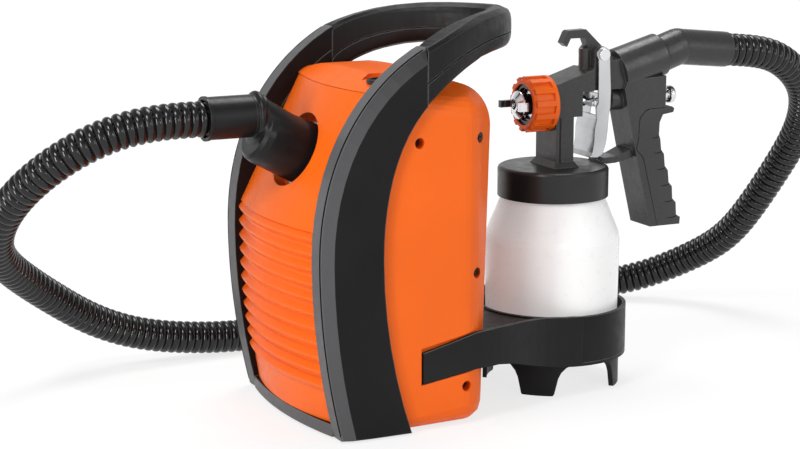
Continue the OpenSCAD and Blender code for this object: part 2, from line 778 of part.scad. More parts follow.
holder_out = body_hw + 0.3;
arm_t = slot_depth - 0.3;
arm_start = 92;
// Outer edge of the arm and web in plan, drawn in by d
function arm_edge(d) = concat(
    [[holder_out - d, arm_front]],
    bezier_points([[holder_out - d, arm_start], [holder_out - d, arm_start + 42],
        [well_r + holder_wall + 6 - d, cup_back - 62], [well_r + holder_wall - d, cup_back - 4]], 12)
);
module plan_area(edge, y0) {
    points = [for (p = edge) if (p[1] >= y0) p];
    polygon(concat(points, [for (p = reverse(points)) [-p[0], p[1]]]));
}
web_back = body_depth + 0.5;
leg_r = 48.2;
// Flared side of a leg, as (distance out from its foot, height)
leg_side = [[-0.8, 0], [0, 0.8], [1.2, well_floor - 16], [2.6, well_floor - 10], [4.8, well_floor - 5.5],
    [8, well_floor - 2.2], [12, well_floor + 0.1]];
well_out = well_r + holder_wall;
module at_cup(z) translate([0, front_y + cup_back, z]) children();

// One moulding in five nodes: the round wall of the well, its floor, the arms, the web and the legs
module cup_holder() color(black) at_cup(well_floor + holder_wall) difference() {
    cylinder(r = well_out, h = well_top - well_floor - holder_wall, $fn = 96);
    translate([0, 0, -1]) cylinder(r = well_r, h = far, $fn = 96);
}

module holder_floor() color(black) at_cup(well_floor) difference() {
    cylinder(r = well_out, h = holder_wall, $fn = 96);
    translate([0, 0, -1]) cylinder(r = 18, h = far);
}

// Upper and lower edges of an arm, as (distance behind the front corner, height)
arm_upper = [[arm_front, arm_z], [arm_front + 21, arm_z + 5], [arm_front + 39.5, arm_z + 9.8],
    [arm_start + 23, arm_z + 10.8], [cup_back - 62, arm_z + 10.2], [cup_back - 39, arm_z + 8.3],
    [cup_back - 19, arm_z + 5.5], [cup_back, well_top]];
arm_lower = [[arm_front, arm_z - arm_h], [arm_front + 39.5, arm_z - arm_h + 6],
    [arm_start + 24, arm_z - arm_h + 6.2], [cup_back - 69, arm_z - arm_h + 4],
    [cup_back - 49, well_floor + 8], [cup_back - 24, well_floor + 2], [cup_back, well_floor]];
module holder_arms() color(black) at_base() difference() {
    translate([0, 0, well_floor]) linear_extrude(far / 4) difference() {
        plan_area(arm_edge(0), 0);
        plan_area(arm_edge(arm_t), -1);
        translate([-far, cup_back - 4.5]) square(2 * far);
    }
    translate([0, cup_back, 0]) cylinder(r = well_out + 0.05, h = far, $fn = 96);
    along_x(-far, far) {
        polygon(concat([[0, -1], [0, arm_lower[0][1]]], arm_lower, [[cup_back, -1]]));
        polygon(concat([[0, far], [0, arm_z]], arm_upper, [[cup_back, far]]));
    }
}

module holder_web() color(black) at_base() difference() {
    translate([0, 0, web_top - holder_wall]) linear_extrude(holder_wall) difference() {
        plan_area(arm_edge(arm_t + 0.05), 0);
        translate([-far, web_back - 2 * far]) square(2 * far);
    }
    translate([0, cup_back, 0]) cylinder(r = well_out + 0.05, h = far, $fn = 96);
}

// Legs, cut from a tube
module holder_legs() color(black) at_cup(0) for (a = [50, 139, 230, 319]) rotate(a) intersection() {
    difference() {
        cylinder(r = leg_r, h = well_floor);
        translate([0, 0, -1]) cylinder(r = leg_r - 3, h = well_floor + 2);
    }
    rotate([90, 0, 90]) linear_extrude(far) polygon(concat(
        [for (p = leg_side) [leg_w / 2 + p[0], p[1]]], [for (p = reverse(leg_side)) [-leg_w / 2 - p[0], p[1]]]
    ));
}

// ---------- hose and its ends ----------

sleeve_r = 14;
sleeve_z = 204;
sleeve_end = -61;
sleeve_start = sleeve_end + 32;
hose_inset = 12;
plug_root = recess_depth - 1.8;
module outlet_connector() color(black) at_base() {
    difference() {
        union() {
            at_outlet() translate([0, 0, -plug_root]) {
                rotate_extrude() polygon([[0, 0], [plug_r - 1, 0], [plug_r, 1], [plug_r - 1.2, plug_l - 6],
                    [plug_r - 2.2, plug_l - 2], [plug_r - 4.5, plug_l], [0, plug_l]]);
                translate([0, 0, -8]) cylinder(r = spigot_r, h = 9);
            }
            // elbow from the plug to the sleeve
            hull() {
                at_outlet() translate([0, 0, -plug_root]) {
                    translate([0, 0, plug_l * 0.42]) cylinder(r = plug_r - 0.9, h = 1, $fn = 48);
                    translate([0, 0, plug_l - 3.5]) cylinder(r = plug_r - 2.6, h = 1, $fn = 48);
                }
                translate([0, sleeve_start + 5.5, sleeve_z]) rotate([-90, 0, 0])
                    cylinder(r = sleeve_r - 0.4, h = 1, $fn = 48);
            }
            rod_y(sleeve_start + 0.1, sleeve_start + 9, sleeve_r, 0, sleeve_z);
            translate([0, sleeve_start + 4.5, sleeve_z]) rotate([90, 0, 0]) rotate_extrude()
                translate([sleeve_r - 0.5, 0]) circle(r = 2.6, $fn = 32);
        }
        at_outlet() translate([0, 0, -plug_root - 9]) cylinder(r = bore_r + 2, h = plug_l + 5);
        rod_y(sleeve_start - 1, sleeve_start + 16, bore_r, 0, sleeve_z);
    }
}

module hose_sleeve() color(black) at_base() difference() {
    union() {
        rod_y(sleeve_end, sleeve_start, sleeve_r, 0, sleeve_z);
        rod_y(sleeve_end, sleeve_end + 2, sleeve_r + 0.6, 0, sleeve_z);
    }
    rod_y(sleeve_end - 1, sleeve_end + hose_inset, hose_r + 0.4, 0, sleeve_z);
    rod_y(sleeve_end - 1, sleeve_start + 1, bore_r, 0, sleeve_z);
}

// Route of the hose, from inside its sleeve to inside the gun's cuff
route = [
    [0, -189, 204], [0, -201, 204], [0, -213, 204], [0, -225, 204], [-2, -247, 202], [-9, -275, 193],
    [-27, -305, 171], [-58, -322, 141], [-97, -318, 108], [-130, -289, 82], [-148, -259, 59],
    [-160, -229, 38], [-165, -195, 23], [-165, -160, 16], [-165, -120, 12], [-168, -80, 12],
    [-172, -30, 12], [-178, 20, 12], [-184, 70, 12], [-190, 120, 12], [-196, 170, 12], [-194, 214, 12],
    [-177, 250, 19], [-154, 278, 36], [-122, 293, 57], [-94, 297, 88], [-75, 307, 122], [-49, 309, 157],
    [-25, 295, 188], [-9, 270, 209], [-2, 246, 222], [0, 225, 226], [0, 215, 227], [0, 205, 228],
    [0, 189.4, 229.56]
];
spline_steps = 8;
padded = concat([2 * route[0] - route[1]], route, [2 * route[len(route) - 1] - route[len(route) - 2]]);
function spline(p, i, t) =
    (pow(1 - t, 3) * p[i] + (3 * pow(t, 3) - 6 * t * t + 4) * p[i + 1]
        + (-3 * pow(t, 3) + 3 * t * t + 3 * t + 1) * p[i + 2] + pow(t, 3) * p[i + 3]) / 6;
curve = concat(
    join([for (i = [0:len(padded) - 4])
        [for (k = [0:spline_steps - 1]) spline(padded, i, k / spline_steps)]]),
    [route[len(route) - 1]]
);
reach = [for (i = 0, s = 0; i < len(curve); i = i + 1,
    s = i < len(curve) ? s + norm(curve[i] - curve[i - 1]) : s) s];
hose_length = reach[len(reach) - 1];
function track(axis) = [for (i = [0:len(curve) - 1]) [reach[i], curve[i][axis]]];
track_x = track(0);
track_y = track(1);
track_z = track(2);
function on_hose(s) = [lookup(s, track_x), lookup(s, track_y), lookup(s, track_z)];
function hose_dir(s) = unit(on_hose(min(s + 4, hose_length)) - on_hose(max(s - 4, 0)));
// Side vector carried along the hose, so that its rings don't twist
function sides(dirs) = [
    for (i = 0, u = [1, 0, 0]; i < len(dirs); i = i + 1,
        u = i < len(dirs) ? unit(u - (u * dirs[i]) * dirs[i]) : u) u
];
hose_faces = 8;
function hose_ring(centre, dir, side, r) =
    let (up = cross(dir, side))
    [for (k = [0:hose_faces - 1])
        let (a = 360 * (k + 0.5) / hose_faces) centre + r * (cos(a) * side + sin(a) * up)];
module air_hose() color(black) {
    count = 2 * hose_ribs;
    stations = [for (i = [0:count]) hose_length * i / count];
    dirs = [for (s = stations) hose_dir(s)];
    side = sides(dirs);
    outer = [for (i = [0:count])
        hose_ring(on_hose(stations[i]), dirs[i], side[i], i % 2 == 0 ? hose_r - groove : hose_r)];
    inner = [for (i = [count:-6:0]) hose_ring(on_hose(stations[i]), dirs[i], side[i], bore_r)];
    skin(concat(outer, inner), looped = true);
}

// ---------- gun ----------

cuff_y = 142;
cuff_z = 228.4;
cuff_drop = 5.7;
cuff_bend = 101;
cuff_r = 12.8;
cuff_rise = 18;
bend_z = cuff_z + (cuff_y - cuff_bend) * tan(cuff_drop);
cuff_root = 80;
module gun_cuff() color(black) at_gun() {
    root_z = bend_z - (cuff_bend - cuff_root) * tan(cuff_rise);
    rise_l = norm([cuff_bend - cuff_root, bend_z - root_z]);
    run_l = norm([cuff_y - cuff_bend, bend_z - cuff_z]);
    difference() {
        union() {
            translate([0, cuff_bend, bend_z]) {
                rotate([90 + cuff_rise, 0, 0]) cylinder(r = cuff_r + 0.4, h = rise_l);
                sphere(r = cuff_r + 0.2);
                rotate([-90 - cuff_drop, 0, 0]) {
                    cylinder(r = cuff_r, h = run_l - 6);
                    translate([0, 0, run_l - 6]) cylinder(r1 = cuff_r, r2 = cuff_r - 0.1, h = 6);
                }
            }
        }
        translate([0, cuff_bend, bend_z]) {
            rotate([90 + cuff_rise, 0, 0]) cylinder(r = bore_r, h = rise_l + 1);
            sphere(r = bore_r + 0.3);
            rotate([-90 - cuff_drop, 0, 0]) {
                cylinder(r = bore_r, h = run_l + 1);
                translate([0, 0, run_l - hose_inset]) cylinder(r = hose_r + 0.4, h = hose_inset + 1);
            }
        }
    }
}

pivot_y = 32;
post_front = -6;
post_rear = 8;
block_rear = 24;
nut_rear = post_front - 0.3;
trunk_front = 50;
trunk_rear = 84;
strap_in = trigger_span / 2;
body_hx = strap_in - 1;
hook_hx = 3.6;
needle_bore = needle_r + 0.05;
boss_front = 43;
spring_bore = 4.5;
top_rise = 17.3;
function top_line(y) = 214.4 + y * tan(top_rise);
barrel_rise = 15.5;
barrel_y = 50;
barrel_z = 218;
barrel_l = 36;
strut_top = 158.4;
seam = [[84.5, 191.4], [69, 191], [62.5, 185], [62, 169], [59.8, 163], [66, 157], [68, 150], [79.5, 106]];

module gun_block() {
    // front block and post
    along_x(-block_hw, block_hw) polygon([
        [post_front, lid_top], [post_rear, lid_top], [post_rear, axis_z - 9], [15, axis_z - 9],
        [15, axis_z + 8],
        [block_rear, axis_z + 8], [block_rear, top_line(block_rear)], [post_front, top_line(post_front)]
    ]);
    // flared foot on the lid
    hull() for (i = [0:2]) let (out = [3, 1.1, 0.2][i])
        translate([-block_hw - out, post_front - out, lid_top + [0, 1.2, 4][i]])
            cube([2 * (block_hw + out), post_rear - post_front + 2 * out, 0.1]);
}

module gun_bridge() along_x(-body_hx, body_hx) polygon([
    [block_rear - 1, axis_z + 8], [trunk_front + 2, axis_z + 8], [trunk_front + 8, top_line(trunk_front)],
    [44, top_line(40)], [block_rear - 1, top_line(block_rear) - 0.5]
]);

module gun_hook() {
    along_x(-hook_hx, hook_hx) polygon([
        [7.8, 237.2], [4.2, 240], [7.8, 247.4], [9.2, 248.4], [23, 248.7], [36, 236.4], [42, 231],
        [42, 222], [20, 218], [25.5, 234], [21.9, 242.8], [10.7, 242.8]
    ]);
    rod_x(-body_hx, body_hx, 5.5, pivot_y, pivot_z);
    along_x(-body_hx, body_hx)
        polygon([[26, 219], [42, 224], [40, 229.5], [36, 235.2], [28, 235.2], [26.5, 230]]);
    translate([0, 24.5, 219]) cylinder(r = 4.5, h = 16);
}

module gun_barrel() {
    translate([0, barrel_y, barrel_z]) rotate([-90 + barrel_rise, 0, 0]) {
        cylinder(r = barrel_r, h = barrel_l);
        translate([0, 0, barrel_l]) cylinder(r1 = barrel_r, r2 = barrel_r - 2, h = 2);
    }
}

module gun_trunk() {
    along_x(-grip_hw, grip_hw) difference() {
        polygon([[trunk_front, 206], [54, 187], [59, 164.5], [73.2, 106], [98.6, 106], [98.5, 112], [88, 150],
            [trunk_rear, 186], [trunk_rear, 214], [trunk_front + 2, 212]]);
        polygon(concat(seam, [[140, 106], [140, 191.4]]));
        translate([0, 80]) square([140, 26]);
    }
}

module gun_guard() along_x(-9, 9) polygon([
    [34, lid_top], [38, 153.5], [46, 153.8], [60, 156.5], [59.5, 163.2], [56, 161.8], [48, strut_top],
    [36, strut_top - 0.4]
]);

module gun_body() color(black) at_gun() difference() {
    union() {
        difference() {
            union() {
                gun_block();
                gun_bridge();
                gun_hook();
            }
            // grooves down the sides of the post
            mirrored() translate([block_hw - 1.2, post_front + 2.2, lid_top + 3])
                cube([2, 1.8, axis_z - 12 - lid_top]);
        }
        gun_barrel();
        gun_trunk();
        gun_guard();
        rod_y(boss_front, trunk_front + 6, 8.5, 0, axis_z);
        rod_y(post_front - 8, post_front + 1, 12, 0, axis_z);
    }
    cut_lid_clear();
    // needle, spring and knob share one axis
    rod_y(-60, trunk_rear + 10, needle_bore, 0, axis_z);
    rod_y(boss_front - 1, trunk_rear - 3, spring_bore, 0, axis_z);
    rod_y(trunk_rear - 4, trunk_rear + 10, 3.1, 0, axis_z);
    rod_y(-60, post_front + 4, nozzle_r + 0.05, 0, axis_z);
    rod_y(9, 16, packing_r + 0.05, 0, axis_z);
    // air way from the cuff, and paint way from the cup
    translate([0, barrel_y, barrel_z]) rotate([-90 + barrel_rise, 0, 0]) translate([0, 0, 10])
        cylinder(r = bore_r, h = far);
    translate([0, cuff_bend, bend_z]) rotate([90 + cuff_rise, 0, 0]) cylinder(r = cuff_r + 0.5, h = 22.4);
    translate([0, 1, 0]) cylinder(r = tube_r + 0.05, h = axis_z - 6);
    rod_x(-far, far, pin_r + 0.05, pivot_y, pivot_z);
}
// Keeps the guard's front end off the lid's side
module cut_lid_clear() translate([0, 0, lid_top - 20]) cylinder(r = lid_r + 0.1, h = 20);

module grip_shell() color(black) at_gun() difference() {
    along_x(-grip_hw, grip_hw) polygon(concat(shifted(seam, -seam_gap), [
        [98.2, 106], [98.6, 111], [95.2, 113], [94.6, 122], [91.6, 125], [91, 134], [88.2, 137], [87.2, 146],
        [84.6, 149], [83.6, 158], [81.2, 161], [80.2, 169], [79, 172], [79.4, 181], [82, 186.4],
        [90.6, 187.6], [91.4, 190.2], [89.6, 191.7], [84.5 + 0.6, 191.7]
    ]));
    for (p = grip_spots) {
        rod_x(-grip_hw - 1, grip_hw - 5, 1.6, p[0], p[1]);
        rod_x(-grip_hw - 1, -grip_hw + 1.5, 2.7, p[0], p[1]);
    }
}

// Driven from the left
grip_spots = [[70, 180], [84, 120]];
module grip_screws() color(steel) at_gun() difference() {
    for (p = grip_spots) {
        rod_x(-grip_hw + 1, grip_hw - 5.1, 1.5, p[0], p[1]);
        rod_x(-grip_hw + 0.1, -grip_hw + 1.4, 2.5, p[0], p[1]);
    }
    for (p = grip_spots) translate([-grip_hw, p[0], p[1]]) cube([1.2, 0.7, 3.4], center = true);
}

// ---------- trigger ----------

front_edge = [[28, 228], [28.3, 198], [26.6, 194.5], [27.2, 186.5], [25.6, 179], [25.3, 170], [24, 163],
    [22, 159.8]];
rear_edge = [[28.1, 159.3], [32.4, 161.6], [34.9, 168.8], [36.1, 177.4], [36.8, 188.2], [38, 194],
    [38.3, 206], [37, 230]];
crossbar_y = 32.3;
module trigger() color(steel) at_gun() {
    difference() {
        union() {
            mirrored() along_x(strap_in, strap_in + trigger_t) union() {
                polygon(concat(front_edge, rear_edge));
                translate([pivot_y, pivot_z]) circle(r = 5.2);
            }
            // front plate with a finger curve, below the needle
            along_x(-strap_in - 0.1, strap_in + 0.1) polygon([
                [26.9, 189.5], [27.2, 186.5], [25.6, 179], [25.3, 170], [24, 163], [22, 159.8], [27.6, 159.4],
                [27.8, 160.9], [24.2, 161.2], [25.6, 163], [26.9, 170], [27.2, 179], [28.8, 186.5],
                [28.5, 189.5]
            ]);
            // bar that draws the needle back
            along_x(-strap_in - 0.1, strap_in + 0.1)
                translate([crossbar_y, axis_z - 5]) square([2.4, 10]);
        }
        rod_x(-far, far, pin_r + 0.05, pivot_y, pivot_z);
        translate([-2.6, crossbar_y - 3, axis_z - 4]) cube([5.2, 8, 6.6]);
    }
}
module trigger_pin() color(steel) at_gun() {
    rod_x(-strap_in - trigger_t - 1, strap_in + trigger_t + 1, pin_r, pivot_y, pivot_z);
    mirrored()
        rod_x(strap_in + trigger_t + run_gap, strap_in + trigger_t + 1.8, pin_r + 1.6, pivot_y, pivot_z);
}

// ---------- needle and its spring, knob, packing nut ----------

needle_tip = -33;
collar_y = crossbar_y + 2.4 + run_gap;
stop_y = 60;
module needle() color(steel) at_gun() {
    rod_y(needle_tip + 3, stop_y + 10.6, needle_r, 0, axis_z);
    translate([0, needle_tip, axis_z]) rotate([-90, 0, 0]) cylinder(r1 = 0.4, r2 = needle_r, h = 3);
    translate([0, collar_y + 4, axis_z]) intersection() {
        sphere(r = 4);
        rotate([90, 0, 0]) cylinder(r = 5, h = 5);
    }
    rod_y(stop_y - 2, stop_y, 3.6, 0, axis_z);
}
spring_turns = 7;
module needle_spring() color("silver") at_gun() {
    y0 = stop_y + 0.3;
    y1 = 77.1;
    wire = 0.5;
    coil_r = 3.1;
    steps = spring_turns * 8;
    skin([for (i = [0:steps])
        let (a = 360 * i / 8, y = y0 + wire + (y1 - y0 - 2 * wire) * i / steps)
        [for (k = [0:5]) let (b = 60 * k)
            let (q = coil_r + wire * cos(b)) [q * cos(a), y + wire * sin(b), axis_z + q * sin(a)]]]);
}
module flow_knob() color(steel) at_gun() difference() {
    union() {
        rod_y(77.4, trunk_rear + 4, 3, 0, axis_z);
        rod_y(trunk_rear + 4, trunk_rear + 6, 4.2, 0, axis_z);
        rod_y(trunk_rear + 6, trunk_rear + 13, knob_r, 0, axis_z);
        rod_y(trunk_rear + 13, trunk_rear + 14.2, knob_r - 1.2, 0, axis_z);
    }
    for (k = [0:17]) translate([0, trunk_rear + 9.5, axis_z]) rotate([0, k * 20, 0]) translate([knob_r, 0, 0])
        cube([0.8, 5, 0.8], center = true);
    rod_y(77, 86, needle_r + 0.2, 0, axis_z);
}
packing_r = 5;
module packing_nut() color(steel) at_gun() difference() {
    union() {
        rod_y(10, 16, packing_r, 0, axis_z);
        translate([0, 15.2, axis_z]) rotate([-90, 0, 0]) cylinder(r = 6.5, h = 5, $fn = 6);
        rod_y(20, 24, 4, 0, axis_z);
    }
    rod_y(0, 40, needle_bore, 0, axis_z);
}

// ---------- nozzle set ----------

// A turned piece on the nozzle axis, from (radius, Y) points
module turned(points) translate([0, 0, axis_z]) rotate([-90, 0, 0]) rotate_extrude() polygon(points);

nozzle_r = 5;
nozzle_front = -32.4;
nozzle_tip_r = 1.7;
module fluid_nozzle() color(steel) at_gun() turned([
    [needle_bore, nozzle_front], [nozzle_tip_r, nozzle_front], [nozzle_tip_r, nozzle_front + 2],
    [nozzle_r, nozzle_front + 9.4], [nozzle_r, post_front + 3.9], [needle_bore, post_front + 3.9]
]);
long_horn = -37.6;
short_horn = -33.4;
cap_rear = -15;
cap_front = -23.4;
face_y = -32;
face_r = 9.8;
waist_r = 7.2;
groove_y = -19.5;
nut_front = -25;
mouth_r = 14.2;
flange_r = nut_r - 4.5;
// A flared face on a waist, in a grooved flange, with a long horn on the left and a short one on the right
module air_cap() color(steel) at_gun() {
    turned([
        [3, face_y], [5, face_y - 0.1], [face_r - 0.2, face_y + 2.8], [face_r, face_y + 3.2],
        [face_r, face_y + 3.9], [waist_r, face_y + 5.6], [waist_r, groove_y], [flange_r - 3.4, groove_y],
        [flange_r - 3.4, cap_front], [flange_r, cap_front], [flange_r, cap_rear],
        [nozzle_r + run_gap, cap_rear], [nozzle_r + run_gap, nozzle_front + 7], [3, nozzle_front + 2.4]
    ]);
    translate([-face_r - 2, long_horn, axis_z - 2.4]) cube([3.6, groove_y + 1 - long_horn, 4.8]);
    translate([face_r - 2, short_horn, axis_z - 3.3]) cube([3.6, groove_y + 1 - short_horn, 6]);
}
module ring_nut() color(orange) at_gun() difference() {
    union() {
        translate([0, nut_front, axis_z]) rotate([-90, 0, 0]) {
            cylinder(r1 = nut_r - 3, r2 = nut_r - 1.6, h = 2);
            translate([0, 0, 2]) cylinder(r = nut_r - 1.6, h = nut_rear - nut_front - 2);
            translate([0, 0, nut_rear - nut_front - 3]) cylinder(r = nut_r, h = 3);
        }
        for (k = [0:lug_count - 1]) translate([0, nut_front + 1, axis_z]) rotate([0, k * 360 / lug_count, 0])
            translate([-2, 0, nut_r - 3]) cube([4, nut_rear - nut_front - 2, 2.9]);
    }
    rod_y(nut_front - 1, nut_rear + 1, mouth_r, 0, axis_z);
    rod_y(cap_front - run_gap, nut_rear + 1, flange_r + run_gap, 0, axis_z);
}

// ---------- lid, bottle, tube ----------

tube_r = 3;
lid_wall = 2.4;
lid_bottom = lid_top - lid_h;
module cup_lid() color(black) at_gun() difference() {
    union() {
        translate([0, 0, lid_bottom]) cylinder(r = lid_r, h = lid_h - 2);
        translate([0, 0, lid_top - 2]) rotate_extrude() {
            polygon([[0, 0], [lid_r, 0], [lid_r - 0.6, 1.2], [lid_r - 2, 2], [0, 2]]);
        }
    }
    translate([0, 0, lid_bottom - 1]) cylinder(r = neck_r + run_gap, h = lid_h + 1 - 3);
    translate([0, 1, lid_bottom]) cylinder(r = tube_r + 0.05, h = far);
}
gasket_t = 1.5;
bottle_rim = lid_top - 3 - gasket_t - run_gap;
module lid_gasket() color([0.85, 0.85, 0.8]) at_gun() translate([0, 0, lid_top - 3 - gasket_t]) difference() {
    cylinder(r = neck_r, h = gasket_t);
    translate([0, 0, -1]) cylinder(r = neck_r - 5, h = gasket_t + 2);
}
bottle_floor = well_floor + holder_wall + run_gap;
shoulder_z = 106;
module suction_tube() color("white") at_gun() difference() {
    translate([0, 1, bottle_floor + 8]) cylinder(r = tube_r, h = axis_z - 12 - bottle_floor - 8);
    translate([0, 1, 0]) cylinder(r = tube_r - 1, h = far);
}
function bottle_side(d) = [
    [bottle_r - 4 - d, bottle_floor + d], [bottle_r - 2 - d, bottle_floor + 1.5 + d],
    [bottle_r - 1.2 - d, bottle_floor + 5 + d],
    [bottle_r - d, shoulder_z - 2], [bottle_r - 1 - d, shoulder_z + 2], [neck_r + 2.6 - d, lid_bottom - 6],
    [neck_r + 0.8 - d, lid_bottom - 1.5], [neck_r - d, lid_bottom - 0.5], [neck_r - d, bottle_rim]
];
module paint_bottle() color([0.93, 0.93, 0.92]) at_gun() rotate_extrude($fn = 96)
    polygon(concat([[0, bottle_floor]], bottle_side(0), reverse(bottle_side(bottle_wall)),
        [[0, bottle_floor + bottle_wall]]));

// ---------- assembly ----------

housing_right();
housing_left();
front_panel();
front_frame();
side_band_right();
side_band_left();
handle_upper();
handle_lower();
rubber_feet();
housing_screws();
switch_bezel();
rocker_switch();
outlet_socket();
air_duct();
fan_housing();
motor_frame();
motor_stator();
motor_rotor();
impeller();
motor_bearings();
carbon_brushes();
motor_mounts();
intake_filter();
filter_cover();
cord_gland();
cup_holder();
holder_floor();
holder_arms();
holder_web();
holder_legs();
outlet_connector();
hose_sleeve();
air_hose();
gun_cuff();
gun_body();
grip_shell();
grip_screws();
trigger();
trigger_pin();
packing_nut();
needle();
needle_spring();
flow_knob();
fluid_nozzle();
air_cap();
ring_nut();
cup_lid();
lid_gasket();
suction_tube();
paint_bottle();
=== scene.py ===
"""Turbine paint sprayer: a base unit with a loop handle, a corrugated air hose and a cup gun.

The frame's nodes get their materials here. The hose, the needle's spring, the flow knob and the
fine lines are modelled here. Named lengths are in millimetres unless their comment says metres.
"""

import math

import bpy
from mathutils import Matrix, Vector


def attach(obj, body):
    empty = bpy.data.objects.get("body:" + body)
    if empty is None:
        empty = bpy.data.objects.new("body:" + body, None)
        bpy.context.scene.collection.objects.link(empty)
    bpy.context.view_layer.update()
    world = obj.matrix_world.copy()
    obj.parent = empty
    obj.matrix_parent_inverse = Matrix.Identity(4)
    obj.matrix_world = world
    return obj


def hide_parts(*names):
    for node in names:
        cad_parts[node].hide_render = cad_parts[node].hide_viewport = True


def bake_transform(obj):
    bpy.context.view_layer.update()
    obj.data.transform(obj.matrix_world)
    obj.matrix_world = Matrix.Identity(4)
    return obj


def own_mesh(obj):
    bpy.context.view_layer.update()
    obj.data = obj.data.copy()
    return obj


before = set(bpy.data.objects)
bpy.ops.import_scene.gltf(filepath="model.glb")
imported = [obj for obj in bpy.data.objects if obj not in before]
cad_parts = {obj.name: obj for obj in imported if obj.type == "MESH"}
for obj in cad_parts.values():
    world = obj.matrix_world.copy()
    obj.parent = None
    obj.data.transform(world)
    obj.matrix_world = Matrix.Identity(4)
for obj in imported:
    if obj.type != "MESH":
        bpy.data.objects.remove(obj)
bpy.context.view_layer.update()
MM = 0.001
GUN_Y = 0.059  # the bottle's axis, in metres
AXIS_Z = 0.1985  # the nozzle's axis, in metres

scene = bpy.context.scene
collection = scene.collection


# ---------- camera, at the photograph's viewing angle ----------

LENS, SENSOR = 93.9, 36.0
CLIP_START, CLIP_END = 0.05, 50  # metres
CAMERA_PLACE = (1.2463, -0.6725, 0.4031)  # metres
CAMERA_BACK = (0.8798, -0.4321, 0.1982)
CAMERA_RIGHT = (0.4408, 0.8976, 0.0)


def make_camera():
    data = bpy.data.cameras.new("view_camera")
    data.sensor_width = SENSOR
    data.lens = LENS
    data.clip_start = CLIP_START
    data.clip_end = CLIP_END
    camera = bpy.data.objects.new("view_camera", data)
    collection.objects.link(camera)
    back = Vector(CAMERA_BACK).normalized()
    right = Vector(CAMERA_RIGHT).normalized()
    up = back.cross(right).normalized()
    basis = Matrix((right, up, back)).transposed().to_4x4()
    camera.matrix_world = Matrix.Translation(CAMERA_PLACE) @ basis
    scene.camera = camera


make_camera()


# ---------- shader tools ----------

def link(tree, a, b):
    tree.links.new(a, b)


def shader(name):
    """A new material with one principled shader; returns it, its tree and the shader."""
    material = bpy.data.materials.new(name)
    material.use_nodes = True
    tree = material.node_tree
    tree.nodes.clear()
    out = tree.nodes.new("ShaderNodeOutputMaterial")
    bsdf = tree.nodes.new("ShaderNodeBsdfPrincipled")
    link(tree, bsdf.outputs[0], out.inputs[0])
    return material, tree, bsdf


def texture_coords(tree, kind):
    return tree.nodes.new("ShaderNodeTexCoord").outputs[kind]


def split(tree, vector):
    """The X, Y and Z outputs of a vector."""
    node = tree.nodes.new("ShaderNodeSeparateXYZ")
    link(tree, vector, node.inputs[0])
    return node.outputs


def calc(tree, operation, *values):
    """A math node over sockets and plain floats."""
    node = tree.nodes.new("ShaderNodeMath")
    node.operation = operation
    for socket, value in zip(node.inputs, values):
        if isinstance(value, float):
            socket.default_value = value
        else:
            link(tree, value, socket)
    return node.outputs[0]


def vector_calc(tree, operation, *vectors):
    """A vector math node whose result is one number."""
    node = tree.nodes.new("ShaderNodeVectorMath")
    node.operation = operation
    for socket, vector in zip(node.inputs, vectors):
        link(tree, vector, socket)
    return node.outputs["Value"]


def noise(tree, coords, scale, detail, rough=0.5, stretch=None):
    if stretch:
        mapping = tree.nodes.new("ShaderNodeMapping")
        mapping.inputs["Scale"].default_value = stretch
        link(tree, coords, mapping.inputs["Vector"])
        coords = mapping.outputs[0]
    node = tree.nodes.new("ShaderNodeTexNoise")
    node.inputs["Scale"].default_value = scale
    node.inputs["Detail"].default_value = detail
    node.inputs["Roughness"].default_value = rough
    link(tree, coords, node.inputs["Vector"])
    return node.outputs["Fac"]


def ramp(tree, value, low, high, start=0.35, end=0.65):
    """Goes from low to high while value goes from start to end."""
    node = tree.nodes.new("ShaderNodeMapRange")
    node.inputs["From Min"].default_value = start
    node.inputs["From Max"].default_value = end
    node.inputs["To Min"].default_value = low
    node.inputs["To Max"].default_value = high
    link(tree, value, node.inputs["Value"])
    return node.outputs[0]


def mix_colour(tree, factor, below, above):
    """Lays the colour above over the one below, which is a socket or a plain colour."""
    node = tree.nodes.new("ShaderNodeMix")
    node.data_type = "RGBA"
    node.inputs["B"].default_value = (*above, 1)
    link(tree, factor, node.inputs["Factor"])
    if isinstance(below, tuple):
        node.inputs["A"].default_value = (*below, 1)
    else:
        link(tree, below, node.inputs["A"])
    return node.outputs["Result"]


def mix_shader(tree, share, below, above):
    node = tree.nodes.new("ShaderNodeMixShader")
    link(tree, share, node.inputs[0])
    link(tree, below, node.inputs[1])
    link(tree, above, node.inputs[2])
    return node.outputs[0]


def bump(tree, normal, height, strength, depth):
    node = tree.nodes.new("ShaderNodeBump")
    node.inputs["Strength"].default_value = strength
    node.inputs["Distance"].default_value = depth
    link(tree, height, node.inputs["Height"])
    link(tree, normal, node.inputs["Normal"])
    return node.outputs[0]


def paler(colour, gain, lift):
    return tuple(min(1, c * gain + lift) for c in colour)


# ---------- materials ----------

BROAD_SCALE, FINE_SCALE, SPECK_SCALE, WAVE_SCALE = 14, 160, 420, 55
WAVE_STRETCH = (1, 1, 0.5)
WAVE_DEPTH, GRAIN_DEPTH = 0.001, 0.0001  # metres
BEVEL_SAMPLES = 6
SPECK_EDGES = (0.62, 0.72)  # noise levels between which a speck fades in
FRONT_EDGES = (-0.38, -0.06)  # y of the normal over which the forward tone fades out
CORNER_EDGES = (0.84, 0.985)  # cosine between the rounded and the plain normal
UPWARD_EDGES = (0.15, 0.4)  # z of the normal over which a corner counts as looking up
SCATTER_RADIUS = (0.9, 0.85, 0.8)
SCATTER_DEPTH = 0.004  # metres

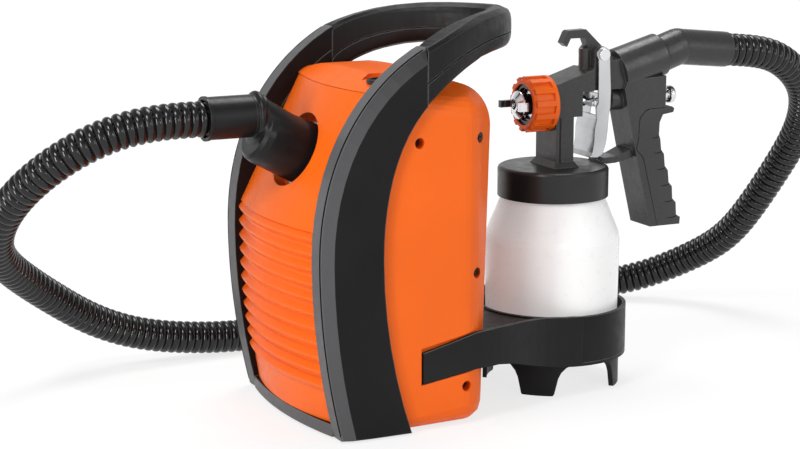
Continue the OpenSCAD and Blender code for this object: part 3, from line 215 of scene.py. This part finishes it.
# Black for the air cap's long horn, and painted shade in its groove round the waist.
CAP_DARK = (0.012, 0.012, 0.013)
GROOVE_FRONT, GROOVE_BACK = GUN_Y - 0.0268, GUN_Y - 0.0202  # metres, as all places below
HORN_BACK = GUN_Y - 0.0236
HORN_SIDE, HORN_HALF_HEIGHT = 0.0079, 0.0027
SOFT, CRISP = 0.0003, 0.0001  # half the width of a painted edge


def surface(name, colour, rough, metallic=0.0, grain=0.0, grain_scale=2600, vary=0.06,
            rough_vary=0.06, edge=0.5, stretch=None, specular=0.5, scatter=0.0, wear=0.0,
            edge_shading=0.0, edge_shading_tone=None, edge_shading_top=False, glow=0.0, wave=0.0, horns=False, front=None):
    """A moulded or turned surface: colour and gloss vary softly, with grain and rounded edges.

    edge_shading paints a highlight on the corners, paler; with edge_shading_tone given it paints
    shade there in that tone instead. edge_shading_top keeps it to corners that look up. wear adds
    pale specks, wave bends the surface softly and horns paints the air cap's long horn black and
    painted shade in its groove. front is a painted highlight on faces that look forward. glow is
    painted light: the surface glows weakly and stands in for a wall that lets light through.
    """
    material, tree, bsdf = shader(name)
    coords = texture_coords(tree, "Object")
    broad = noise(tree, coords, BROAD_SCALE, 2)
    fine = noise(tree, coords, FINE_SCALE, 4, 0.6, stretch)
    dark = tuple(c * (1 - vary) for c in colour)
    light = tuple(min(1, c * (1 + vary)) for c in colour)
    tone = mix_colour(tree, ramp(tree, broad, 0, 1), dark, light)
    if wear:
        specks = ramp(tree, noise(tree, coords, SPECK_SCALE, 2, 0.7), 0, wear, *SPECK_EDGES)
        tone = mix_colour(tree, specks, tone, paler(colour, 1.6, 0.03))
    if front:
        facing = split(tree, texture_coords(tree, "Normal"))
        tone = mix_colour(tree, ramp(tree, facing["Y"], 1.0, 0.0, *FRONT_EDGES), tone, front)
    bevel = tree.nodes.new("ShaderNodeBevel")
    bevel.samples = BEVEL_SAMPLES
    bevel.inputs["Radius"].default_value = edge * MM
    normal = bevel.outputs[0]
    # Painted highlight on the corners, which are toned paler; where a dark tone is given, painted
    # shade there instead.
    if edge_shading:
        plain = tree.nodes.new("ShaderNodeNewGeometry").outputs["Normal"]
        turn = vector_calc(tree, "DOT_PRODUCT", normal, plain)
        corner = ramp(tree, turn, edge_shading, 0.0, *CORNER_EDGES)
        # Keeps the painted highlight to corners that look up, where the light falls.
        if edge_shading_top:
            upward = ramp(tree, split(tree, normal)["Z"], 0.0, 1.0, *UPWARD_EDGES)
            corner = calc(tree, "MULTIPLY", upward, corner)
        tone = mix_colour(tree, corner, tone, edge_shading_tone or paler(colour, 1.3, 0.22))
    if horns:
        tone, metal = dark_parts(tree, coords, tone)
        link(tree, metal, bsdf.inputs["Metallic"])
    else:
        bsdf.inputs["Metallic"].default_value = metallic
    link(tree, tone, bsdf.inputs["Base Color"])
    gloss = ramp(tree, fine, rough - rough_vary, rough + rough_vary)
    link(tree, gloss, bsdf.inputs["Roughness"])
    bsdf.inputs["Specular IOR Level"].default_value = specular
    # Painted light: the surface glows weakly in its own colour.
    if glow:
        bsdf.inputs["Emission Color"].default_value = (*colour, 1)
        bsdf.inputs["Emission Strength"].default_value = glow
    if scatter:
        bsdf.inputs["Subsurface Weight"].default_value = scatter
        bsdf.inputs["Subsurface Radius"].default_value = SCATTER_RADIUS
        bsdf.inputs["Subsurface Scale"].default_value = SCATTER_DEPTH
    if wave:
        bend = noise(tree, coords, WAVE_SCALE, 1, 0.4, WAVE_STRETCH)
        normal = bump(tree, normal, bend, wave, WAVE_DEPTH)
    if grain:
        pores = noise(tree, coords, grain_scale, 2, 0.5, stretch)
        normal = bump(tree, normal, pores, grain, GRAIN_DEPTH)
    link(tree, normal, bsdf.inputs["Normal"])
    return material


def dark_parts(tree, coords, tone):
    """Black for the air cap's long horn and painted shade in its groove, set by place on the
    piece.

    Returns the colour and the share of metal; the short horn stays bright.
    """
    place = split(tree, coords)

    def past(value, limit, soft=SOFT):
        return ramp(tree, value, 0.0, 1.0, limit - soft, limit + soft)

    # Painted shade: the groove round the waist is darkened and loses its metal.
    groove = calc(tree, "SUBTRACT", past(place["Y"], GROOVE_FRONT), past(place["Y"], GROOVE_BACK))
    left = calc(tree, "MULTIPLY", place["X"], -1.0)
    height = calc(tree, "ABSOLUTE", calc(tree, "SUBTRACT", place["Z"], AXIS_Z))
    level = calc(tree, "SUBTRACT", 1.0, past(height, HORN_HALF_HEIGHT, CRISP))
    horn = calc(tree, "MULTIPLY", past(left, HORN_SIDE, CRISP), level)
    forward = calc(tree, "SUBTRACT", 1.0, past(place["Y"], HORN_BACK))
    dark = calc(tree, "MAXIMUM", calc(tree, "MULTIPLY", horn, forward), groove)
    return mix_colour(tree, dark, tone, CAP_DARK), ramp(tree, dark, 1.0, 0.0, 0.0, 1.0)


# Corner settings below paint a highlight on the corners; on the holder, only on those that look
# up.
M = {
    "orange": surface("orange_shell", (0.86, 0.132, 0.006), 0.42, grain=0.25, grain_scale=2200,
                      vary=0.03, edge=0.8, specular=0.22),
    "black": surface("black_shell", (0.0085, 0.0085, 0.0090), 0.40, grain=0.40,
                     grain_scale=2100, vary=0.2, edge=1.1, specular=0.15, wear=0.03, edge_shading=0.5),
    "holder": surface("holder_shell", (0.0095, 0.0095, 0.0100), 0.42, grain=0.35,
                      grain_scale=2100, vary=0.3, edge=1.1, specular=0.15, wear=0.03,
                      edge_shading=0.75, edge_shading_top=True),
    "band": surface("band_shell", (0.0075, 0.0075, 0.0080), 0.38, grain=0.40, grain_scale=2100,
                    vary=0.2, edge=1.1, specular=0.14, wear=0.03, edge_shading=0.6,
                    front=(0.098, 0.098, 0.102)),
    "gun": surface("gun_moulding", (0.033, 0.0325, 0.032), 0.30, grain=0.25, grain_scale=1900,
                   vary=0.15, edge=0.7, specular=0.42, wear=0.03, edge_shading=0.30),
    "lid": surface("lid_moulding", (0.019, 0.019, 0.0195), 0.34, grain=0.2, grain_scale=1900,
                   vary=0.15, edge=0.7, specular=0.32, edge_shading=0.3),
    "plug": surface("plug_moulding", (0.0075, 0.0075, 0.0080), 0.34, grain=0.2,
                    grain_scale=1900, vary=0.15, edge=0.7, specular=0.22, edge_shading=0.2),
    "hose": surface("hose_wall", (0.0045, 0.0045, 0.005), 0.17, grain=0.08, grain_scale=1500,
                    vary=0.2, edge=0.3, specular=0.42),
    "ring": surface("ring_nut_shell", (0.84, 0.126, 0.006), 0.34, grain=0.15, vary=0.03,
                    edge=0.6, specular=0.25),
    "grey": surface("outlet_silver", (0.66, 0.67, 0.69), 0.26, 1.0, vary=0.05, edge=0.4),
    "duct": surface("duct_moulding", (0.10, 0.10, 0.11), 0.5, grain=0.2, edge=0.4),
    "rubber": surface("soft_rubber", (0.018, 0.018, 0.018), 0.72, grain=0.4, grain_scale=1400,
                      specular=0.3),
    "chrome": surface("chrome_plate", (0.74, 0.745, 0.76), 0.11, 1.0, vary=0.04,
                      rough_vary=0.05, edge=0.35),
    "cap": surface("cap_plate", (0.74, 0.745, 0.76), 0.16, 1.0, vary=0.04, rough_vary=0.04,
                   edge=0.3, horns=True),
    # The pressed plate's corners are toned dark: painted shade.
    "plate": surface("pressed_plate", (0.58, 0.585, 0.595), 0.20, 1.0, vary=0.22,
                     rough_vary=0.06, edge=0.8, wave=1.0, edge_shading=0.75, edge_shading_tone=(0.10, 0.10, 0.105)),
    "steel": surface("turned_steel", (0.58, 0.58, 0.60), 0.28, 1.0, grain=0.1,
                     stretch=(1, 9, 1), edge=0.25),
    # The housing screws are darkened so that they read as the shade in their recesses: painted
    # shade.
    "screw_shade": surface("painted_screw_shade", (0.05, 0.048, 0.046), 0.45, 1.0, grain=0.2, edge=0.25),
    "motor": surface("pressed_steel", (0.42, 0.43, 0.45), 0.36, 1.0, grain=0.1, edge=0.4),
    "copper": surface("wound_copper", (0.55, 0.24, 0.10), 0.35, 1.0, grain=0.6,
                      grain_scale=700, stretch=(1, 1, 5)),
    "carbon": surface("carbon_block", (0.03, 0.03, 0.03), 0.7, grain=0.3),
    "alloy": surface("cast_alloy", (0.62, 0.63, 0.65), 0.4, 1.0, grain=0.3, grain_scale=900),
    "foam": surface("open_foam", (0.05, 0.05, 0.055), 0.95, grain=1.0, grain_scale=420,
                    vary=0.3, specular=0.2),
    # The bottle's wall glows weakly: painted light.
    "bottle": surface("bottle_wall", (0.72, 0.72, 0.72), 0.32, vary=0.006, edge=0.6,
                      specular=0.35, scatter=0.25, glow=0.32),
    "gasket": surface("gasket_white", (0.70, 0.69, 0.66), 0.6, grain=0.2),
    "tube": surface("tube_white", (0.78, 0.78, 0.78), 0.35),
    "groove": surface("groove_shadow", (0.0035, 0.0035, 0.0038), 0.8, grain=0.2,
                      specular=0.08, vary=0.1),
}

NODE_MATERIAL = {
    "orange": "housing_right housing_left front_panel",
    "band": "front_frame side_band_right side_band_left",
    "black": "handle_upper handle_lower switch_bezel rocker_switch filter_cover",
    "holder": "cup_holder holder_floor holder_arms holder_web holder_legs",
    "gun": "gun_body grip_shell gun_cuff",
    "lid": "cup_lid",
    "plug": "outlet_connector hose_sleeve",
    "hose": "air_hose",
    "ring": "ring_nut",
    "grey": "outlet_socket",
    "duct": "air_duct fan_housing",
    "rubber": "rubber_feet motor_mounts cord_gland",
    "chrome": "trigger_pin packing_nut flow_knob fluid_nozzle needle",
    "cap": "air_cap",
    "plate": "trigger",
    "screw_shade": "housing_screws",
    "steel": "motor_rotor motor_bearings needle_spring grip_screws",
    "motor": "motor_frame",
    "copper": "motor_stator",
    "carbon": "carbon_brushes",
    "alloy": "impeller",
    "foam": "intake_filter",
    "bottle": "paint_bottle",
    "gasket": "lid_gasket",
    "tube": "suction_tube",
}
CAD_ANGLE = 32  # degrees


def smooth(mesh, angle):
    """Shades a mesh smooth over turns below an angle in degrees; its points stay."""
    mesh.shade_smooth()
    mesh.set_sharp_from_angle(angle=math.radians(angle))


for key, names in NODE_MATERIAL.items():
    for name in names.split():
        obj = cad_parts[name]
        obj.data.materials.clear()
        obj.data.materials.append(M[key])
        smooth(obj.data, CAD_ANGLE)


# ---------- mesh tools ----------

def new_piece(name, verts, faces, material, body, smooth_angle=None):
    """Adds a mesh as a piece, flat unless a smoothing angle in degrees is given."""
    mesh = bpy.data.meshes.new(name)
    mesh.from_pydata([tuple(v) for v in verts], [], faces)
    mesh.validate()
    piece = bpy.data.objects.new(name, mesh)
    collection.objects.link(piece)
    mesh.materials.append(M[material])
    if smooth_angle:
        smooth(mesh, smooth_angle)
    if body:
        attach(piece, body)
    return piece


def ring_faces(rings, sides, flip=False):
    """Faces that join rings of points in order and close both ends."""
    faces = []
    for i in range(rings - 1):
        for k in range(sides):
            a, b = i * sides + k, i * sides + (k + 1) % sides
            faces.append((a, a + sides, b + sides, b) if flip else (a, b, b + sides, a + sides))
    first = tuple(reversed(range(sides)))
    last = tuple((rings - 1) * sides + k for k in range(sides))
    faces += [first[::-1], last[::-1]] if flip else [first, last]
    return faces


def tube_mesh(points, radii, sides):
    """Rings of the given radii carried along points without twist; returns points and faces."""
    last = len(points) - 1
    side = Vector((1, 0, 0))
    verts = []
    for i, p in enumerate(points):
        t = (points[min(i + 1, last)] - points[max(i - 1, 0)]).normalized()
        side = (side - side.dot(t) * t).normalized()
        up = t.cross(side)
        for k in range(sides):
            a = 2 * math.pi * k / sides
            verts.append(p + radii[i] * (math.cos(a) * side + math.sin(a) * up))
    return verts, ring_faces(len(points), sides)


def round_axis(radius, angle, y):
    """A point round the needle's axis, y millimetres behind the bottle's axis."""
    x, z = radius * math.cos(angle), radius * math.sin(angle)
    return Vector((x, y + GUN_Y / MM, z + AXIS_Z / MM)) * MM


# ---------- the air hose ----------

ROUTE = [
    (0, -189, 204), (0, -201, 204), (0, -213, 204), (0, -225, 204), (-2, -247, 202),
    (-9, -275, 193), (-27, -304.6, 171), (-58, -320.8, 141), (-97, -317, 108), (-130, -289, 82),
    (-148, -259, 59), (-160, -229, 38), (-165, -195, 23), (-165, -160, 16), (-165, -120, 12),
    (-168, -80, 12), (-172, -30, 12), (-178, 20, 12), (-184, 70, 12), (-190, 120, 12),
    (-195.2, 170, 12), (-193.2, 214, 12), (-177, 250, 19), (-154, 278, 36), (-122, 293, 57),
    (-94, 297, 88), (-75, 307, 122), (-49, 309, 157), (-25, 295, 188), (-9, 270, 209),
    (-2, 246, 222), (0, 225, 226), (0, 215, 227), (0, 205, 228), (0, 189.4, 229.56),
]
STEPS_PER_SPAN = 40
HOSE_RIBS, RINGS_PER_RIB = 206, 10
HOSE_CORE_R, RIB_HEIGHT, RIB_FULLNESS = 10.0, 1.95, 0.55
HOSE_SIDES, HOSE_SIDES_QUICK = 28, 16


def hose_line():
    """The route as one smooth dense curve, with the length reached at each of its points."""
    p = [Vector(v) * MM for v in ROUTE]
    p = [2 * p[0] - p[1]] + p + [2 * p[-1] - p[-2]]
    dense = []
    for i in range(len(p) - 3):
        for k in range(STEPS_PER_SPAN):
            t = k / STEPS_PER_SPAN
            dense.append(((1 - t) ** 3 * p[i] + (3 * t ** 3 - 6 * t * t + 4) * p[i + 1]
                          + (-3 * t ** 3 + 3 * t * t + 3 * t + 1) * p[i + 2]
                          + t ** 3 * p[i + 3]) / 6)
    dense.append(p[-2])
    reach = [0.0]
    for a, b in zip(dense, dense[1:]):
        reach.append(reach[-1] + (b - a).length)
    return dense, reach


def at_reach(dense, reach, s, cursor):
    """The curve's point at length s, looked for from cursor on, and the new cursor."""
    while cursor < len(reach) - 2 and reach[cursor + 1] < s:
        cursor += 1
    f = (s - reach[cursor]) / max(reach[cursor + 1] - reach[cursor], 1e-9)
    return dense[cursor].lerp(dense[cursor + 1], min(max(f, 0), 1)), cursor


def make_hose():
    """The corrugated hose, which replaces the plain one and runs in curves from base to gun."""
    dense, reach = hose_line()
    length = reach[-1]
    count = HOSE_RIBS * RINGS_PER_RIB
    points, radii = [], []
    cursor = 0
    for i in range(count + 1):
        p, cursor = at_reach(dense, reach, length * i / count, cursor)
        points.append(p)
        phase = (i % RINGS_PER_RIB) / RINGS_PER_RIB
        bulge = max(0.0, math.sin(math.pi * phase)) ** RIB_FULLNESS
        radii.append((HOSE_CORE_R + RIB_HEIGHT * bulge) * MM)
    sides = HOSE_SIDES
    verts, faces = tube_mesh(points, radii, sides)
    hose = new_piece("corrugated_hose", verts, faces, "hose", None, 70)
    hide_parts("air_hose")
    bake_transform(hose)


make_hose()


# ---------- the needle's spring ----------

SPRING_FRONT, SPRING_BACK = 60.3, 77.1
SPRING_TURNS, STEPS_PER_TURN = 7, 24
COIL_R, WIRE_R, WIRE_SIDES = 3.1, 0.5, 8


def make_spring():
    """A coil round the needle; the trigger draws the needle back by 6 mm."""
    points = []
    length = SPRING_BACK - SPRING_FRONT
    steps = SPRING_TURNS * STEPS_PER_TURN
    for i in range(steps + 1):
        y = SPRING_FRONT + WIRE_R + (length - 2 * WIRE_R) * i / steps
        points.append(round_axis(COIL_R, 2 * math.pi * i / STEPS_PER_TURN, y))
    verts, faces = tube_mesh(points, [WIRE_R * MM] * len(points), WIRE_SIDES)
    spring = new_piece("needle_coil", verts, faces, "steel", "gun", 60)
    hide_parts("needle_spring")
    # 6 mm of travel and 0.2 mm to spare
    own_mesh(spring)


make_spring()


# ---------- the flow knob: a slotted stem with a round flange ----------

KNOB_PROFILE = [
    (77.4, 2.6), (77.8, 3.0), (88.0, 3.0), (88.1, 3.9), (88.4, 4.25), (88.7, 4.3), (91.6, 4.3),
    (91.9, 4.2), (92.2, 3.7), (92.7, 3.6), (92.9, 5.2), (93.3, 6.0), (94.0, 6.38), (95.4, 6.45),
    (96.6, 6.3), (97.4, 5.8), (97.9, 5.0), (98.1, 4.0), (97.8, 3.2), (97.7, 1.6),
]
KNOB_SIDES = 72
SLOT_START, SLOT_END, SLOT_FLOOR_R = 88.3, 92.0, 2.0
SLOT_SHARE, SLOT_FLANK = 0.42, 0.14  # of |cos 2a|, where the slot ends and how it rises


def make_knob():
    verts = []
    for y, r in KNOB_PROFILE:
        slotted = SLOT_START < y < SLOT_END
        for k in range(KNOB_SIDES):
            a = 2 * math.pi * k / KNOB_SIDES
            ridge = min(1.0, max(0.0, (abs(math.cos(2 * a)) - SLOT_SHARE) / SLOT_FLANK))
            verts.append(round_axis(SLOT_FLOOR_R + (r - SLOT_FLOOR_R) * ridge if slotted else r,
                                    a, y))
    faces = ring_faces(len(KNOB_PROFILE), KNOB_SIDES, flip=True)
    knob = new_piece("slotted_knob", verts, faces, "chrome", "knob", 40)
    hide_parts("flow_knob")


make_knob()


# ---------- fine dark lines: low strips 0.1 mm proud that stand in for grooves ----------

def with_normals(points):
    """Each point of a flat line with the line's normal there."""
    last = len(points) - 1
    for i, p in enumerate(points):
        t = (points[min(i + 1, last)] - points[max(i - 1, 0)]).normalized()
        yield p, Vector((-t.y, t.x))


GRIP_SECTION = ((-0.5, -0.2), (-0.22, 0.10), (0.22, 0.10), (0.5, -0.2))
LINE_END_SHARE = 0.35  # the width of a line's ends
SEAM_WIDTH, GROOVE_WIDTH = 0.8, 0.9


def side_line(name, points, width, x):
    """A dark strip along (y, z) points of the gun, on its side at x."""
    out = 1 if x > 0 else -1
    pts = [Vector(p) for p in points]
    verts = []
    for i, (p, n) in enumerate(with_normals(pts)):
        taper = LINE_END_SHARE if i in (0, len(pts) - 1) else 1.0
        for across, lift in GRIP_SECTION:
            q = p + n * across * width * taper
            verts.append(Vector((x + out * lift, q.x + GUN_Y / MM, q.y)) * MM)
    faces = ring_faces(len(pts), 4, flip=out < 0)
    new_piece(name, verts, faces, "groove", "gun")


def curve_through(points, steps=6, radius=3.0, most=2.2):
    """Rounds the corners of a polyline, each by at most a part of its shorter side."""
    out = [points[0]]
    for a, b, c in zip(points, points[1:], points[2:]):
        a, b, c = Vector(a), Vector(b), Vector(c)
        r = min(radius, (a - b).length / most, (c - b).length / most)
        p, q = b + (a - b).normalized() * r, b + (c - b).normalized() * r
        for k in range(steps + 1):
            t = k / steps
            out.append(tuple((1 - t) ** 2 * p + 2 * t * (1 - t) * b + t * t * q))
    out.append(points[-1])
    return out


GRIP_X = 13.0
SEAM = [
    (84.2, 191.2), (69, 191), (62.5, 185), (62, 169), (59.8, 163), (66, 157), (68, 150),
    (79.3, 106.6),
]
STEPS = [(96.4, 112.6), (93.0, 124.4), (89.6, 136.4), (86.0, 148.4), (82.6, 160.4), (79.6, 171.4)]
GROOVE_RUN, RUN_LOSS = 9.0, 0.35  # the lowest groove's length, and how much each next one loses

for side in (1, -1):
    tag = "right" if side > 0 else "left"
    side_line("grip_seam_" + tag, curve_through(SEAM), SEAM_WIDTH, side * GRIP_X)
    for i, (y, z) in enumerate(STEPS):
        run = GROOVE_RUN - RUN_LOSS * i
        bow = [(y - run, z - 1.3), (y - run * 0.6, z - 1.5), (y - run * 0.25, z - 1.0),
               (y - 0.6, z)]
        side_line(f"grip_groove_{tag}_{i + 1}", bow, GROOVE_WIDTH, side * GRIP_X)


# ---------- the part line between frame and side bands ----------

BOW, BOW_Z, ARCH_PULL, PEAK_Y, PEAK_Z = 15.0, 118.0, 90.0, 132.0, 268.5
BOW_STEPS, ARCH_POINTS = 24, 60
LINE_FOOT_Z, LINE_END_Y = 2.5, 58.5
BASE_Y = -140.0
BAND_SEAM_X = 77.80
BAND_SECTION = ((-0.5, -0.35), (-0.22, 0.10), (0.22, 0.10), (0.5, -0.35))


def front_line():
    """The frame's front profile as (y, z) points, from the floor up to the handle's joint."""
    pts = [(-BOW * (1 - (1 - i / BOW_STEPS) ** 2), BOW_Z * i / BOW_STEPS)
           for i in range(BOW_STEPS)]
    a, b = Vector((-BOW, BOW_Z)), Vector((-BOW, BOW_Z + ARCH_PULL))
    c, d = Vector((PEAK_Y - ARCH_PULL + 2, PEAK_Z)), Vector((PEAK_Y, PEAK_Z))
    for i in range(ARCH_POINTS):
        t = i / (ARCH_POINTS - 1)
        q = (1 - t) ** 3 * a + 3 * t * (1 - t) ** 2 * b + 3 * t * t * (1 - t) * c + t ** 3 * d
        if q.x < LINE_END_Y:
            pts.append((q.x, q.y))
    return [Vector(p) for p in pts if p[1] > LINE_FOOT_Z]


def band_line(name, x):
    """A fine dark strip along the seam of the frame and a side band."""
    pts = front_line()
    verts = []
    for p, n in with_normals(pts):
        for across, lift in BAND_SECTION:
            q = p + n * lift
            verts.append(Vector((x + across, q.x + BASE_Y, q.y)) * MM)
    new_piece(name, verts, ring_faces(len(pts), 4), "groove", "base")


band_line("band_seam_right", BAND_SEAM_X)
band_line("band_seam_left", -BAND_SEAM_X)


# ---------- floor, light ----------

WHITE = (1, 1, 1, 1)
FLOOR_HALF = 6  # metres
FLOOR_GLOW = 1.06
GLOW_NEAR, GLOW_FAR = 0.72, 1.0  # the glow's share near the object and far from it
GLOW_EDGES = (0.35, 0.95)  # metres between which the share rises
AMBIENT = 0.36
WALL_LOW, WALL_HIGH = 1.0, 0.4  # the wall's strength near the horizon and overhead
WALL_EDGES = (0.15, 0.6)  # z of the direction over which it falls


def seen(tree):
    """1 for the rays that show the background: to the camera, in gloss and through glass."""
    path = tree.nodes.new("ShaderNodeLightPath").outputs
    value = path["Is Camera Ray"]
    for name in ("Is Glossy Ray", "Is Transmission Ray"):
        value = calc(tree, "MAXIMUM", value, path[name])
    return value


def make_floor():
    """A pale floor that keeps the shadow and glows in part for the rays that see it."""
    s = FLOOR_HALF
    mesh = bpy.data.meshes.new("studio_floor")
    mesh.from_pydata([(-s, -s, 0), (s, -s, 0), (s, s, 0), (-s, s, 0)], [], [(0, 1, 2, 3)])
    floor = bpy.data.objects.new("studio_floor", mesh)
    collection.objects.link(floor)
    material, tree, bsdf = shader("studio_floor")
    bsdf.inputs["Base Color"].default_value = (0.88, 0.88, 0.88, 1)
    bsdf.inputs["Roughness"].default_value = 0.9
    bsdf.inputs["Specular IOR Level"].default_value = 0.1
    glow = tree.nodes.new("ShaderNodeEmission")
    glow.inputs["Strength"].default_value = FLOOR_GLOW
    away = vector_calc(tree, "LENGTH", texture_coords(tree, "Object"))
    share = calc(tree, "MULTIPLY", seen(tree), ramp(tree, away, GLOW_NEAR, GLOW_FAR, *GLOW_EDGES))
    mixed = mix_shader(tree, share, bsdf.outputs[0], glow.outputs[0])
    link(tree, mixed, tree.nodes["Material Output"].inputs[0])
    mesh.materials.append(material)


def make_world():
    """Plain light all round; the rays that see it get a white wall, darker towards the ceiling."""
    world = bpy.data.worlds.new("studio")
    scene.world = world
    world.use_nodes = True
    tree = world.node_tree
    tree.nodes.clear()
    out = tree.nodes.new("ShaderNodeOutputWorld")
    ambient, wall = (tree.nodes.new("ShaderNodeBackground") for _ in range(2))
    for node in (ambient, wall):
        node.inputs["Color"].default_value = WHITE
    ambient.inputs["Strength"].default_value = AMBIENT
    direction = split(tree, texture_coords(tree, "Generated"))
    level = ramp(tree, direction["Z"], WALL_LOW, WALL_HIGH, *WALL_EDGES)
    link(tree, level, wall.inputs["Strength"])
    mixed = mix_shader(tree, seen(tree), ambient.outputs[0], wall.outputs[0])
    link(tree, mixed, out.inputs[0])


def area_light(name, place, target, size, power):
    data = bpy.data.lights.new(name, "AREA")
    data.shape = "RECTANGLE"
    data.size, data.size_y = size
    data.energy = power
    light = bpy.data.objects.new(name, data)
    collection.objects.link(light)
    light.location = place
    aim = Vector(target) - Vector(place)
    light.rotation_euler = aim.to_track_quat("-Z", "Y").to_euler()


make_floor()
make_world()
area_light("key_light", (0.7, -1.2, 1.55), (0, 0, 0.12), (0.5, 0.5), 14)
area_light("side_light", (1.6, 1.0, 0.9), (0, 0.05, 0.12), (0.4, 1.2), 5)
area_light("cuff_light", (1.7, 0.0, 0.62), (0, 0.1, 0.2), (0.25, 0.25), 3)
area_light("top_light", (-0.5, 0.3, 1.6), (0, 0, 0.1), (0.8, 0.8), 14)
area_light("front_light", (0.62, -1.5, 0.34), (0, -0.1, 0.16), (0.2, 0.7), 9)

scene.view_settings.view_transform = "Standard"
